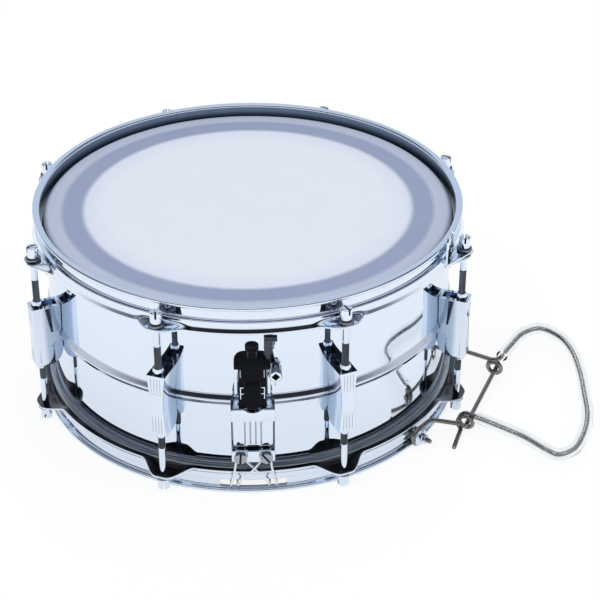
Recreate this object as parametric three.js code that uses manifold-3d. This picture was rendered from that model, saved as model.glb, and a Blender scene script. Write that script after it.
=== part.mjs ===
// Marching snare drum, 14 by 6.5 inch, metal shell. Millimetres, +Z up.
// The origin is the centre of the batter head's playing face. Inside the drum group z runs
// from the lower rim (0) to the upper rim (OVERALL_HEIGHT), and the drum's axis is x = y = 0.
// Pieces spread round the drum are drawn at the front, where outward is -Y, and turned about Z.
import * as THREE from 'three';
import { mergeVertices } from 'three/addons/utils/BufferGeometryUtils.js';
import Module from 'manifold-3d';

const wasm = await Module();
wasm.setup();

// Overall sizes
const OVERALL_HEIGHT = 182;
const SHELL_RADIUS = 177.8;
const SHELL_WALL = 1.2;
const HEAD_INSET = 8.6;          // from a rim's end to the playing face
const FIT = 0.3;                 // gap between two seated pieces
const OVERRUN = 1;               // how far a cut passes the face it opens
const LUG_COUNT = 8;
const RING_STEPS = 48;           // steps round the shell, heads and flesh hoops

// Shell
const BEARING_EDGE = 2.8;        // 45 degree turn-in at both ends
const BEARING_LIP = 1.4;
const BEAD_CENTRE_Z = 88.5;
const BEAD_WIDTH = 11;
const BEAD_FLAT = 1.5;
const BEAD_HEIGHT = 2.4;

// Heads
const FILM = 0.5;
const DAMPING_RING_OUTER = 165;
const DAMPING_RING_WIDTH = 22;
const FLESH_HOOP_WIDTH = 4.3;
const FLESH_HOOP_HEIGHT = 7;
const COLLAR_SHORT = 1.2;        // the film ends this far above the flesh hoop's lower edge

// Counter hoops, drawn as depth from the drum's end
const HOOP_STEEL = 2.3;
const HOOP_CLEARANCE = 0.9;      // round the flesh hoop
const HOOP_STEP_IN = 3.3;
const HOOP_STEP_DEPTH = 13.6;
const RIM_REACH = 4;
const RIM_LIP = 3.5;
const SKIRT_FLARE = 2.2;
const SKIRT_DEPTH = 21.6;
const SKIRT_BEND = 1.6;
const EAR_DEPTH = 17.5;
const EAR_BEYOND_ROD = 6.9;
const EAR_FLAT_ANGLE = 1.2;
const EAR_SPREAD_ANGLE = 7.2;
const ROD_OFFSET = 9.8;          // rod circle outside the hoop's band
const EAR_HOLE_RADIUS = 3.8;
const HOOP_STEP_SHARES = [-0.66, -0.31, -0.14, 0, 0.14, 0.31, 0.66, 1];
const EAR_LIFT_SHARE = 0.6;      // the flange rises to the ear's level sooner than it widens
const SNARE_GATE_WIDTH = 56;
const SNARE_GATE_BOTTOM = 4;
const SNARE_GATE_TOP = 11;

// Tension rods
const ROD_RADIUS = 3;
const ROD_HEAD_RADIUS = 4.9;
const ROD_HEAD_HEIGHT = 11;
const ROD_SIDES = 8;
const ROUND_SIDES = 12;          // of the thicker short round pieces
const WASHER_RADIUS = 6.6;
const WASHER_THICKNESS = 2.3;
const SLOT_WIDTH = 1.8;
const SLOT_DEPTH = 3.4;
const ROD_IN_NUT = 15;

// Lugs
const LUG_HEIGHT = 57.5;
const LUG_END_WIDTH = 16.5;
const LUG_WAIST_WIDTH = 12;
const LUG_BACK_HEIGHT = 31;
const LUG_FRONT_WALL = 1.7;
const LUG_END_DEPTH = 12.5;
const LUG_CORNER = 1.6;
const NUT_RADIUS = 4.7;
const NUT_BORE_RADIUS = 3.4;
const NUT_NOSE_RADIUS = 3.9;
const NUT_NOSE = 5;              // the swivel nut stands this far out of the lug
const NUT_NOSE_TAPER = 2.5;
const NUT_DEPTH = 12;
const LUG_POCKET_GAP = 0.6;
const LUG_SLOT_HEIGHT = 9;
const FLUTE_COUNT = 4;
const FLUTE_WIDTH = 1.1;
const FLUTE_DEPTH = 0.7;
const FLUTE_PITCH = 2.6;
const FLUTE_LENGTH = 13;
const FLUTE_MARGIN = 2.6;

// Strainer: base, housing and cap
const STRAINER_BASE_HALF = 14.6;
const STRAINER_BASE_STEEL = 3.4;
const STRAINER_BASE_BOTTOM = 61;
const STRAINER_CHEEK = 3;
const STRAINER_CHEEK_BOTTOM = 108;
const STRAINER_CAP_BOTTOM = 126.5;
const STRAINER_TOP = 139.8;
const STRAINER_SHOULDER = 8.5;
const STRAINER_SHOULDER_DROP = 13;
const STRAINER_DEPTH = 25.2;     // from the shell to the housing's front
const HOUSING_BOTTOM = 93;
const CHEEK_SETBACK = 5;
const WINDOW_HALF = 10.4;        // recessed front panel of the housing
const WINDOW_DEPTH = 1.2;
const WINDOW_BOTTOM = 127;
const WINDOW_TOP = 137;

// Strainer: fine tension knob and its screw
const KNOB_SETBACK = 10.5;       // the knob's axis behind the housing's front
const KNOB_RADIUS = 5.5;
const KNOB_NECK_RADIUS = 3.9;
const KNOB_NECK = 5.5;
const KNOB_FLARE = 2.2;
const KNOB_RIM = 4.4;
const KNOB_FLATS = 16;
const KNURL_DEPTH = 0.5;
const TENSION_SCREW_RADIUS = 2.2;
const TENSION_SCREW_LENGTH = 44;
const SCREW_BORE_RADIUS = 2.9;

// Strainer: release slide, the rounded black nose in the housing's front
const SLIDE_HALF = 6.6;
const SLIDE_TOP = 122;
const SLIDE_TIP = 97.2;
const SLIDE_PROUD = 2.4;
const SLIDE_DEPTH = 7;
const ADJUST_TRAVEL = 2;

// Strainer: throw-off lever and its hub
const LEVER_SETBACK = 11;        // the lever's back behind the housing's front
const LEVER_STEEL = 2.6;
const LEVER_AXIS_X = 18.5;
const LEVER_AXIS_Z = 131.6;
const LEVER_HUB_RADIUS = 5.1;
const LEVER_HUB_LENGTH = 14;
const LEVER_KINK = 16;           // above its axis the lever's edges turn upright
const LEVER_SOCKET = 5;
const LEVER_SOCKET_DEPTH = 6;
const LEVER_PIN_RADIUS = 2.2;
const LEVER_ARM_LEFT = 9.6;
const LEVER_ARM_RIGHT = 16.4;
const LEVER_TOP = 158.8;
const LEVER_HOOK_REACH = 5;
const LEVER_HOOK_WIDTH = 10.5;
const LEVER_HOOK_THICKNESS = 2.6;
const LEVER_EAR_STEEL = 4;
const LEVER_EAR_MARGIN = 5;

// Strainer: snare carriage, the tray with its fluted plate
const CARRIAGE_HALF = 18;
const CARRIAGE_GAP = 6.7;        // from the shell to the tray
const CARRIAGE_STEEL = 2.4;
const CARRIAGE_FLOOR_TOP = 88.4;
const CARRIAGE_EAR_TOP = 95;
const CRADLE_TOP = 98;
const CRADLE_SIDES = 20;
const PLATE_HALF = 16.4;
const PLATE_BOTTOM = 54;
const PLATE_SETBACK = 8;
const PLATE_THICKNESS = 3.4;
const PLATE_CORNER = 4;
const PLATE_FLUTE_PITCH = 4.4;
const PLATE_FLUTE_WIDTH = 1.6;
const PLATE_FLUTE_DEPTH = 0.8;
const PLATE_FLUTE_MARGIN = 4;
const WEB_HALF = 6;

// Cord clamps, alike at the strainer and the butt
const CLAMP_HALF = 17.8;
const CLAMP_BOTTOM = 41.4;
const CLAMP_TOP = 52.3;
const CLAMP_TAIL_SETBACK = 11;
const CLAMP_TAIL_STEEL = 2;
const CLAMP_BAR_DEPTH = 4;
const CLAMP_CENTRE_STEP = 1;
const CLAMP_SCREW_X = 10.6;
const CLAMP_SCREW_HEAD_RADIUS = 5.2;
const CLAMP_SCREW_HEAD = 4;
const CLAMP_SCREW_RADIUS = 1.9;

// Butt bracket
const BUTT_HALF = 20;
const BUTT_TOP = 80;
const BUTT_PAD_BOTTOM = 58;
const BUTT_STEEL = 2.6;

// Snare wires
const SNARE_STRANDS = 12;
const SNARE_STRAND_PITCH = 3.4;
const SNARE_STRAND_WIDTH = 1.7;
const SNARE_PLATE_SETBACK = 24.8; // the end plate's centre inside the shell
const SNARE_PLATE_DEPTH = 13;
const SNARE_PLATE_STEEL = 1.2;
const SNARE_PLATE_MARGIN = 2;
const SNARE_SLOT_DEPTH = 8.4;
const SNARE_SLOT_WIDTH = 2.6;
const SNARE_ON_PLATE = 4;

// Snare cords
const CORD_RADIUS = 0.95;
const CORD_SIDES = 8;
const CORD_OUTER_X = 19;
const CORD_INNER_X = 13.6;
const CORD_CROSSING = 1.3;       // how far in front of or behind the mean a cord crosses

// Leg rest, drawn at the front and turned to its place
const LEG_REST_ANGLE = 66.7;
const LEG_WIRE_RADIUS = 2;
const WIRE_SIDES = 6;
const LEG_EYE_ANGLE_1 = -17.7;   // eye places, from the leg rest's own direction
const LEG_EYE_ANGLE_2 = 26.8;
const LEG_EYE_RADIUS = 7;
const LEG_EYE_Z = 9.6;
const LEG_EYE_OUT = 6.5;         // the eyes' wire outside the hoop's wall
const LEG_EYE_SWEEP = 280;
const LEG_EYE_RUN_1 = 18.5;      // straight wire from each eye to its arm
const LEG_EYE_RUN_2 = 10;
const LEG_BAR_OUT = 31.4;        // the bar outside the hoop's wall
const LEG_BAR_X1 = -28.2;
const LEG_BAR_X2 = 79;
const LEG_BAR_Z = 8.8;
const LEG_ARM_Z = 10.4;
const LEG_ARM_SETBACK = 4.5;
const LEG_BEND = 5;
const LOOP_EYE_RADIUS = 6.4;
const LOOP_EYE_PITCH = 4.7;
const LOOP_EYE_X1 = -17.4;
const LOOP_EYE_X2 = 73.6;
const LOOP_SLACK = 1.9;          // the coils sit this far in from the bar's axis
const LOOP_EYE_STEPS = 8;
const LOOP_COIL_TURN_1 = 515;    // the first coil ends below the bar, at the tail
const LOOP_COIL_TURN_2 = 405;
const LOOP_REACH = 101;
const LOOP_STEPS = 32;
const LOOP_OUTER_Z = 10;
const LOOP_TAIL = 28;
const LOOP_TAIL_LEAN = 2.4;
const SLEEVE_RADIUS = 5.4;
const SLEEVE_BORE_RADIUS = 2.9;
const SLEEVE_SIDES = 8;
const SLEEVE_BORE_SIDES = 6;
const SLEEVE_START = 9;          // length of bare wire between each coil and the sleeve
// The loop's outline from eye to eye: across from the leg rest's centre line and outward from
// the coils, as shares of LOOP_REACH
const LOOP_POINT_SHARES = [
  [-0.238, 0.33], [-0.287, 0.54], [-0.386, 0.77], [-0.406, 0.87], [-0.287, 0.97], [-0.059, 1],
  [0.238, 0.97], [0.574, 0.86], [0.871, 0.75], [1.188, 0.59], [1.356, 0.43], [1.406, 0.24],
  [1.267, 0.12], [1.02, 0.065], [0.842, 0.04], [0.772, 0.03],
];

// Leg rest bolts
const BOLT_RADIUS = 2.2;
const BOLT_HOLE_RADIUS = 2.6;
const BOLT_HEAD_RADIUS = 4.6;
const HEXAGON = 6;
const BOLT_HEAD = 5;
const BOLT_TIP = 5;              // the bolt's end stands this far out of its nut
const BOLT_WASHER_RADIUS = 7.5;
const BOLT_WASHER = 1.4;
const SPACER_RADIUS = 3.7;
const SPACER_BORE_RADIUS = 2.6;

// Hook bracket under the washer of one batter rod
const HOOK_ROD = 1;
const HOOK_STEEL = 1.8;
const HOOK_BASE_HALF = 6.5;
const HOOK_RIM_GAP = 1.2;
const HOOK_LEFT = -30;
const HOOK_RIGHT = -12;
const HOOK_HEIGHT = 28.4;
const HOOK_HOLE_RADIUS = 2.6;
const HOOK_HOLE_X = -18.5;
const HOOK_HOLE_LOW = 10.8;
const HOOK_HOLE_HIGH = 22;

// Worked out from the sizes above
const BATTER_FACE_Z = OVERALL_HEIGHT - HEAD_INSET;
const SNARE_FACE_Z = HEAD_INSET;
const MID_Z = OVERALL_HEIGHT / 2;
const SHELL_TOP_Z = BATTER_FACE_Z - FILM - FIT;
const SHELL_BOTTOM_Z = SNARE_FACE_Z + FILM + FIT;
const COLLAR_INNER = SHELL_RADIUS + FIT;
const COLLAR_OUTER = COLLAR_INNER + FILM;
const FLESH_INNER = COLLAR_OUTER + FIT;
const FLESH_OUTER = FLESH_INNER + FLESH_HOOP_WIDTH;
const FLESH_DEPTH = HOOP_STEP_DEPTH + HOOP_STEEL + FIT;
const BAND_INNER = FLESH_OUTER + HOOP_CLEARANCE;
const BAND_OUTER = BAND_INNER + HOOP_STEEL;
const WALL_OUTER = BAND_OUTER - HOOP_STEP_IN;
const WALL_INNER = WALL_OUTER - HOOP_STEEL;
const RIM_OUTER = WALL_OUTER + RIM_REACH;
const SKIRT_RADIUS = BAND_OUTER + SKIRT_FLARE;
const ROD_CIRCLE = BAND_OUTER + ROD_OFFSET;
const STRAINER_FRONT = SHELL_RADIUS + STRAINER_DEPTH;
const KNOB_AXIS_RADIUS = STRAINER_FRONT - KNOB_SETBACK;
const LEVER_BACK = STRAINER_FRONT - LEVER_SETBACK;
const CARRIAGE_BACK = SHELL_RADIUS + CARRIAGE_GAP;
const CARRIAGE_FRONT = STRAINER_FRONT;
const PLATE_FRONT = STRAINER_FRONT - PLATE_SETBACK;
const CLAMP_TAIL_FRONT = STRAINER_FRONT - CLAMP_TAIL_SETBACK;
const SNARE_PLATE_CENTRE = SHELL_RADIUS - SNARE_PLATE_SETBACK;
const LEG_EYE_CIRCLE = WALL_OUTER + LEG_EYE_OUT;
const LEG_BAR_REACH = WALL_OUTER + LEG_BAR_OUT;
const LOOP_COIL_REACH = LEG_BAR_REACH - LOOP_SLACK;
const EAR_RADIUS = ROD_CIRCLE + EAR_BEYOND_ROD;
const LUG_BORE_RADIUS = NUT_RADIUS + LUG_POCKET_GAP;
const LUG_FRONT = ROD_CIRCLE + LUG_BORE_RADIUS + LUG_FRONT_WALL;
const LUG_BACK = SHELL_RADIUS + FIT;
const BEAD_RADIUS = SHELL_RADIUS + BEAD_HEIGHT;
const SNARE_Z = SNARE_FACE_Z - FIT - SNARE_STRAND_WIDTH / 2;
const CORD_CLAMP_RADIUS = CLAMP_TAIL_FRONT + FIT + CORD_RADIUS;
const CLAMP_BAR_BACK = CORD_CLAMP_RADIUS + CORD_RADIUS + FIT;
const CLAMP_BAR_FRONT = CLAMP_BAR_BACK + CLAMP_BAR_DEPTH;
const CLAMP_MID_Z = (CLAMP_BOTTOM + CLAMP_TOP) / 2;
const HALF_TURN_SHARE = Math.tan(Math.PI / 8);   // mitre of a 45 degree bend
const TAU = 2 * Math.PI;
const HALF_TURN_DEGREES = 180;

// Materials
function metal(color, roughness) {
  return new THREE.MeshStandardMaterial({ color, roughness, metalness: 1 });
}

function plain(color, roughness) {
  return new THREE.MeshStandardMaterial({ color, roughness, metalness: 0 });
}

const chrome = metal(0xd8dde3, 0.08);
const steelWire = metal(0x6f6c6b, 0.35);
const washerGrey = plain(0x8d949a, 0.5);
const aluminium = metal(0xc2c6ca, 0.35);
const blackParts = plain(0x111214, 0.4);
const headFilm = plain(0xdfe4ee, 0.45);
const dampingFilm = plain(0x9fabc8, 0.5);
const cordWhite = plain(0xeceded, 0.7);
const clearVinyl = new THREE.MeshStandardMaterial({
  color: 0xe6edf5, roughness: 0.1, metalness: 0, transparent: true, opacity: 0.35,
});
const snareSteel = metal(0xa9adb2, 0.3);

// Solids and meshes
function toSolid(geometry) {
  const bare = geometry.clone();
  bare.deleteAttribute('normal');
  bare.deleteAttribute('uv');
  const merged = mergeVertices(bare, 1e-4);
  const index = merged.index.array;
  return new wasm.Manifold(new wasm.Mesh({
    numProp: 3,
    vertProperties: Float32Array.from(merged.attributes.position.array),
    triVerts: Uint32Array.from(index),
  }));
}

function toGeometry(solid) {
  const result = solid.getMesh();
  const geometry = new THREE.BufferGeometry();
  geometry.setAttribute('position', new THREE.BufferAttribute(result.vertProperties, 3));
  geometry.setIndex(new THREE.BufferAttribute(result.triVerts, 1));
  return geometry;
}

function addMesh(parent, name, shape, material) {
  const geometry = shape.isBufferGeometry ? shape : toGeometry(shape);
  const faceted = geometry.index ? geometry.toNonIndexed() : geometry;
  faceted.computeVertexNormals();
  const mesh = new THREE.Mesh(faceted, material);
  mesh.name = name;
  parent.add(mesh);
  return mesh;
}

// A group turned about the drum's axis, for pieces drawn at the front
function turned(parent, degrees) {
  const group = new THREE.Group();
  group.rotation.z = THREE.MathUtils.degToRad(degrees);
  parent.add(group);
  return group;
}

// A solid box between two x, two radii (outward is -Y) and two heights
function block(x0, x1, r0, r1, z0, z1) {
  const box = new THREE.BoxGeometry(x1 - x0, r1 - r0, z1 - z0);
  return toSolid(box.translate((x0 + x1) / 2, -(r0 + r1) / 2, (z0 + z1) / 2));
}

function extrude(shape, depth, curveSegments = 4) {
  return new THREE.ExtrudeGeometry(shape, { depth, bevelEnabled: false, steps: 1, curveSegments });
}

function polygon(points) {
  return new THREE.Shape(points.map(([x, y]) => new THREE.Vector2(x, y)));
}

// An outline of radius and height, as thick as its width across the front
function sidePrism(shape, width, curveSegments) {
  const geometry = extrude(shape, width, curveSegments);
  geometry.translate(0, 0, -width / 2);
  const turn = new THREE.Matrix4().makeBasis(
    new THREE.Vector3(0, -1, 0), new THREE.Vector3(0, 0, 1), new THREE.Vector3(-1, 0, 0));
  return toSolid(geometry.applyMatrix4(turn));
}

// An outline of x and height, from one radius out to another
function frontPrism(shape, r0, r1, curveSegments) {
  const geometry = extrude(shape, r1 - r0, curveSegments);
  const turn = new THREE.Matrix4().makeBasis(
    new THREE.Vector3(1, 0, 0), new THREE.Vector3(0, 0, 1), new THREE.Vector3(0, -1, 0));
  return toSolid(geometry.applyMatrix4(turn).translate(0, -r0, 0));
}

// A round bar along Z, at the front on the given radius
function uprightBar(radius, x, r, z0, z1, sides) {
  const bar = new THREE.CylinderGeometry(radius, radius, z1 - z0, sides);
  bar.rotateX(Math.PI / 2);
  return toSolid(bar.translate(x, -r, (z0 + z1) / 2));
}

// A round bar pointing outward at the front
function outwardBar(radius, x, z, r0, r1, sides) {
  const bar = new THREE.CylinderGeometry(radius, radius, r1 - r0, sides);
  return toSolid(bar.translate(x, -(r0 + r1) / 2, z));
}

function lathe(profile, steps) {
  const points = profile.map(([r, z]) => new THREE.Vector2(r, z));
  return new THREE.LatheGeometry(points, steps).rotateX(Math.PI / 2);
}

function closedLathe(profile, steps) {
  return lathe([...profile, profile[0]], steps);
}

// A path whose steps fall on its own points, so bends get steps and straight runs few
class PointPath extends THREE.Curve {
  constructor(points) {
    super();
    this.points = points;
  }

  getPoint(t, target = new THREE.Vector3()) {
    const place = t * (this.points.length - 1);
    const first = Math.min(Math.floor(place), this.points.length - 2);
    return target.lerpVectors(this.points[first], this.points[first + 1], place - first);
  }

  getUtoTmapping(u) {
    return u;
  }
}

function roundSection(radius, sides) {
  const points = [];
  for (let i = 0; i < sides; i += 1) {
    const angle = TAU * i / sides;
    points.push(new THREE.Vector2(radius * Math.cos(angle), radius * Math.sin(angle)));
  }
  return points;
}

// A bar or a tube swept along points
function sweep(points, radius, sides, boreRadius = 0, boreSides = sides) {
  const section = new THREE.Shape(roundSection(radius, sides));
  if (boreRadius) {
    section.holes.push(new THREE.Path(roundSection(boreRadius, boreSides)));
  }
  return new THREE.ExtrudeGeometry(section, {
    steps: points.length - 1, bevelEnabled: false, extrudePath: new PointPath(points),
  });
}

// A point at the front frame: across, outward, up
function at(x, r, z) {
  return new THREE.Vector3(x, -r, z);
}

// Rounds the inner corners of a run of points
function bent(corners, bend) {
  const points = [corners[0]];
  for (let i = 1; i < corners.length - 1; i += 1) {
    const before = corners[i - 1].clone().sub(corners[i]);
    const after = corners[i + 1].clone().sub(corners[i]);
    const reach = Math.min(bend, before.length() / 2, after.length() / 2);
    const start = corners[i].clone().addScaledVector(before.normalize(), reach);
    const end = corners[i].clone().addScaledVector(after.normalize(), reach);
    points.push(...new THREE.QuadraticBezierCurve3(start, corners[i], end).getPoints(3));
  }
  points.push(corners[corners.length - 1]);
  return points;
}

// Shell: a rolled bead round the middle, both ends turned in at 45 degrees
function shell() {
  const beadFoot = BEAD_WIDTH / 2;
  const beadTop = BEAD_FLAT / 2;
  const edge = SHELL_RADIUS - BEARING_EDGE;
  const outer = [
    [edge, SHELL_BOTTOM_Z],
    [SHELL_RADIUS, SHELL_BOTTOM_Z + BEARING_EDGE],
    [SHELL_RADIUS, BEAD_CENTRE_Z - beadFoot],
    [BEAD_RADIUS, BEAD_CENTRE_Z - beadTop],
    [BEAD_RADIUS, BEAD_CENTRE_Z + beadTop],
    [SHELL_RADIUS, BEAD_CENTRE_Z + beadFoot],
    [SHELL_RADIUS, SHELL_TOP_Z - BEARING_EDGE],
    [edge, SHELL_TOP_Z],
  ];
  const turnIn = SHELL_WALL * HALF_TURN_SHARE;
  const inner = [
    [edge - BEARING_LIP, SHELL_TOP_Z],
    [SHELL_RADIUS - SHELL_WALL, SHELL_TOP_Z - BEARING_EDGE - turnIn],
    [SHELL_RADIUS - SHELL_WALL, BEAD_CENTRE_Z + beadFoot],
    [BEAD_RADIUS - SHELL_WALL, BEAD_CENTRE_Z + beadTop],
    [BEAD_RADIUS - SHELL_WALL, BEAD_CENTRE_Z - beadTop],
    [SHELL_RADIUS - SHELL_WALL, BEAD_CENTRE_Z - beadFoot],
    [SHELL_RADIUS - SHELL_WALL, SHELL_BOTTOM_Z + BEARING_EDGE + turnIn],
    [edge - BEARING_LIP, SHELL_BOTTOM_Z],
  ];
  return closedLathe([...outer, ...inner], RING_STEPS);
}

// Head film with its collar, drawn upside up; depth is measured down from the playing face
function film(faceZ, down) {
  const lean = FIT * HALF_TURN_SHARE;
  const inner = SHELL_RADIUS - BEARING_EDGE + lean;
  const outer = inner + FILM * HALF_TURN_SHARE;
  const bend = FILM + FIT + BEARING_EDGE - lean;
  const skirt = FLESH_DEPTH + FLESH_HOOP_HEIGHT - COLLAR_SHORT - HEAD_INSET;
  const profile = [
    [0, 0],
    [outer, 0],
    [COLLAR_OUTER, bend - FILM * HALF_TURN_SHARE],
    [COLLAR_OUTER, skirt],
    [COLLAR_INNER, skirt],
    [COLLAR_INNER, bend],
    [inner, FILM],
    [0, FILM],
  ];
  return profile.map(([r, depth]) => [r, faceZ + down * depth]);
}

// A square-cut ring between two radii and two heights
function ringProfile(r0, r1, z0, z1) {
  return [[r0, z0], [r1, z0], [r1, z1], [r0, z1]];
}

// Counter hoop section at one place, from the flange's underside up over the rim and down
function hoopSection(bump) {
  const lift = bump ** EAR_LIFT_SHARE;
  const tip = THREE.MathUtils.lerp(SKIRT_RADIUS, EAR_RADIUS, bump);
  const tipDepth = THREE.MathUtils.lerp(SKIRT_DEPTH, EAR_DEPTH, lift);
  const bend = THREE.MathUtils.lerp(SKIRT_BEND, 0, lift);
  return [
    [BAND_INNER, tipDepth + HOOP_STEEL],
    [tip, tipDepth + HOOP_STEEL],
    [tip, tipDepth],
    [BAND_OUTER, tipDepth - bend],
    [BAND_OUTER, HOOP_STEP_DEPTH],
    [WALL_OUTER, HOOP_STEP_DEPTH],
    [WALL_OUTER, RIM_LIP],
    [RIM_OUTER, RIM_LIP],
    [RIM_OUTER, 0],
    [WALL_INNER, 0],
    [WALL_INNER, HOOP_STEP_DEPTH + HOOP_STEEL],
    [BAND_INNER, HOOP_STEP_DEPTH + HOOP_STEEL],
  ];
}

// The hoop swept round, widening to an ear at each rod, with the rods' holes
function counterHoop() {
  const halfPitch = HALF_TURN_DEGREES / LUG_COUNT;
  const rings = [];
  for (let ear = 0; ear < LUG_COUNT; ear += 1) {
    for (const share of HOOP_STEP_SHARES) {
      const offset = share * halfPitch;
      const bump = 1 - THREE.MathUtils.smoothstep(Math.abs(offset), EAR_FLAT_ANGLE, EAR_SPREAD_ANGLE);
      rings.push({ degrees: (2 * ear + 1) * halfPitch + offset, section: hoopSection(bump) });
    }
  }
  const count = rings[0].section.length;
  const positions = [];
  for (const ring of rings) {
    const angle = THREE.MathUtils.degToRad(ring.degrees);
    for (const [r, depth] of ring.section) {
      positions.push(r * Math.sin(angle), -r * Math.cos(angle), -depth);
    }
  }
  const faces = [];
  for (let i = 0; i < rings.length; i += 1) {
    const next = (i + 1) % rings.length;
    for (let j = 0; j < count; j += 1) {
      const above = (j + 1) % count;
      faces.push(i * count + j, next * count + j, next * count + above);
      faces.push(i * count + j, next * count + above, i * count + above);
    }
  }
  const geometry = new THREE.BufferGeometry();
  geometry.setAttribute('position', new THREE.Float32BufferAttribute(positions, 3));
  geometry.setIndex(faces);
  let hoop = toSolid(geometry);
  for (let ear = 0; ear < LUG_COUNT; ear += 1) {
    const hole = uprightBar(EAR_HOLE_RADIUS, 0, ROD_CIRCLE, -SKIRT_DEPTH - HOOP_STEEL, 0, ROD_SIDES);
    hoop = hoop.subtract(hole.rotate([0, 0, (2 * ear + 1) * halfPitch]));
  }
  return hoop;
}

function snareHoop() {
  const gateHalf = SNARE_GATE_WIDTH / 2;
  const gate = block(-gateHalf, gateHalf, WALL_INNER - HOOP_STEP_IN, WALL_OUTER + OVERRUN,
    SNARE_GATE_BOTTOM, SNARE_GATE_TOP);
  let hoop = counterHoop().rotate([0, HALF_TURN_DEGREES, 0]);
  hoop = hoop.subtract(gate).subtract(gate.rotate([0, 0, HALF_TURN_DEGREES]));
  for (const angle of [LEG_EYE_ANGLE_1, LEG_EYE_ANGLE_2]) {
    const hole = outwardBar(BOLT_HOLE_RADIUS, 0, LEG_EYE_Z, WALL_INNER - OVERRUN, RIM_OUTER, ROD_SIDES);
    hoop = hoop.subtract(hole.rotate([0, 0, LEG_REST_ANGLE + angle]));
  }
  return hoop;
}

// Tension rod with its washer, standing on the ear of the upper hoop
function tensionRod(lift) {
  const seat = OVERALL_HEIGHT - EAR_DEPTH + FIT + lift;
  const washerTop = seat + WASHER_THICKNESS;
  const top = washerTop + ROD_HEAD_HEIGHT;
  const tip = MID_Z + LUG_HEIGHT / 2 + NUT_NOSE - ROD_IN_NUT;
  const profile = [
    [0, tip],
    [ROD_RADIUS, tip],
    [ROD_RADIUS, seat],
    [WASHER_RADIUS, seat],
    [WASHER_RADIUS, washerTop],
    [ROD_HEAD_RADIUS, washerTop],
    [ROD_HEAD_RADIUS, top],
    [0, top],
  ];
  const rod = toSolid(lathe(profile, ROD_SIDES).translate(0, -ROD_CIRCLE, 0));
  const slotReach = ROD_HEAD_RADIUS + OVERRUN;
  const slot = block(-slotReach, slotReach, ROD_CIRCLE - SLOT_WIDTH / 2, ROD_CIRCLE + SLOT_WIDTH / 2,
    top - SLOT_DEPTH, top + OVERRUN);
  return rod.subtract(slot);
}

// Lug body from the side: a straight back on the shell and a hollow curve out to each end
function lugSideShape() {
  const half = LUG_HEIGHT / 2;
  const back = LUG_BACK_HEIGHT / 2;
  const endBack = LUG_FRONT - LUG_END_DEPTH;
  const shape = new THREE.Shape();
  shape.moveTo(LUG_BACK, -back);
  shape.lineTo(LUG_BACK, back);
  shape.quadraticCurveTo(LUG_BACK + LUG_CORNER, half - LUG_CORNER, endBack, half);
  shape.lineTo(LUG_FRONT, half);
  shape.lineTo(LUG_FRONT, -half);
  shape.lineTo(endBack, -half);
  shape.quadraticCurveTo(LUG_BACK + LUG_CORNER, LUG_CORNER - half, LUG_BACK, -back);
  return shape;
}

// Lug from the front: wide ends drawn in to a waist
function lugFrontShape() {
  const half = LUG_HEIGHT / 2;
  const end = LUG_END_WIDTH / 2;
  const pull = LUG_WAIST_WIDTH - end;
  const shape = new THREE.Shape();
  shape.moveTo(-end, -half);
  shape.lineTo(end, -half);
  shape.quadraticCurveTo(pull, 0, end, half);
  shape.lineTo(-end, half);
  shape.quadraticCurveTo(-pull, 0, -end, -half);
  return shape;
}

function lugFlute(x, z0, z1) {
  const half = FLUTE_WIDTH / 2;
  const shape = polygon([
    [x - half, -LUG_FRONT - OVERRUN],
    [x + half, -LUG_FRONT - OVERRUN],
    [x + half, -LUG_FRONT],
    [x, -LUG_FRONT + FLUTE_DEPTH],
    [x - half, -LUG_FRONT],
  ]);
  return toSolid(extrude(shape, z1 - z0).translate(0, 0, z0));
}

// The swivel nut in the lug's upper end: a sleeve from the pocket's floor to a tapered nose
function swivelNut() {
  const end = LUG_HEIGHT / 2;
  const nose = end + NUT_NOSE;
  const profile = [
    [NUT_BORE_RADIUS, end - NUT_DEPTH - OVERRUN],
    [NUT_RADIUS, end - NUT_DEPTH - OVERRUN],
    [NUT_RADIUS, nose - NUT_NOSE_TAPER],
    [NUT_NOSE_RADIUS, nose],
    [NUT_BORE_RADIUS, nose],
  ];
  return toSolid(closedLathe(profile, ROD_SIDES).translate(0, -ROD_CIRCLE, 0));
}

function lug() {
  const half = LUG_HEIGHT / 2;
  const body = sidePrism(lugSideShape(), LUG_END_WIDTH, 3)
    .intersect(frontPrism(lugFrontShape(), LUG_BACK, LUG_FRONT, 4));
  const beadShape = polygon([
    [LUG_BACK - OVERRUN, BEAD_CENTRE_Z - MID_Z - BEAD_WIDTH / 2 - 2 * OVERRUN],
    [BEAD_RADIUS + FIT, BEAD_CENTRE_Z - MID_Z - BEAD_FLAT / 2 - FIT],
    [BEAD_RADIUS + FIT, BEAD_CENTRE_Z - MID_Z + BEAD_FLAT / 2 + FIT],
    [LUG_BACK - OVERRUN, BEAD_CENTRE_Z - MID_Z + BEAD_WIDTH / 2 + 2 * OVERRUN],
  ]);
  let result = body.subtract(sidePrism(beadShape, LUG_END_WIDTH + OVERRUN));
  for (const end of [0, HALF_TURN_DEGREES]) {
    const bore = uprightBar(LUG_BORE_RADIUS, 0, ROD_CIRCLE, half - NUT_DEPTH,
      half + OVERRUN, ROD_SIDES);
    const slot = block(-LUG_BORE_RADIUS + FIT, LUG_BORE_RADIUS - FIT, LUG_BACK, ROD_CIRCLE,
      half - LUG_SLOT_HEIGHT, half + OVERRUN);
    result = result.subtract(bore.rotate([0, end, 0])).subtract(slot.rotate([0, end, 0]));
    result = result.add(swivelNut().rotate([0, end, 0]));
    for (let i = 0; i < FLUTE_COUNT; i += 1) {
      const x = (i - (FLUTE_COUNT - 1) / 2) * FLUTE_PITCH;
      const flute = lugFlute(x, half - FLUTE_MARGIN - FLUTE_LENGTH, half - FLUTE_MARGIN);
      result = result.subtract(flute.rotate([0, end, 0]));
    }
  }
  return result;
}

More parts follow.
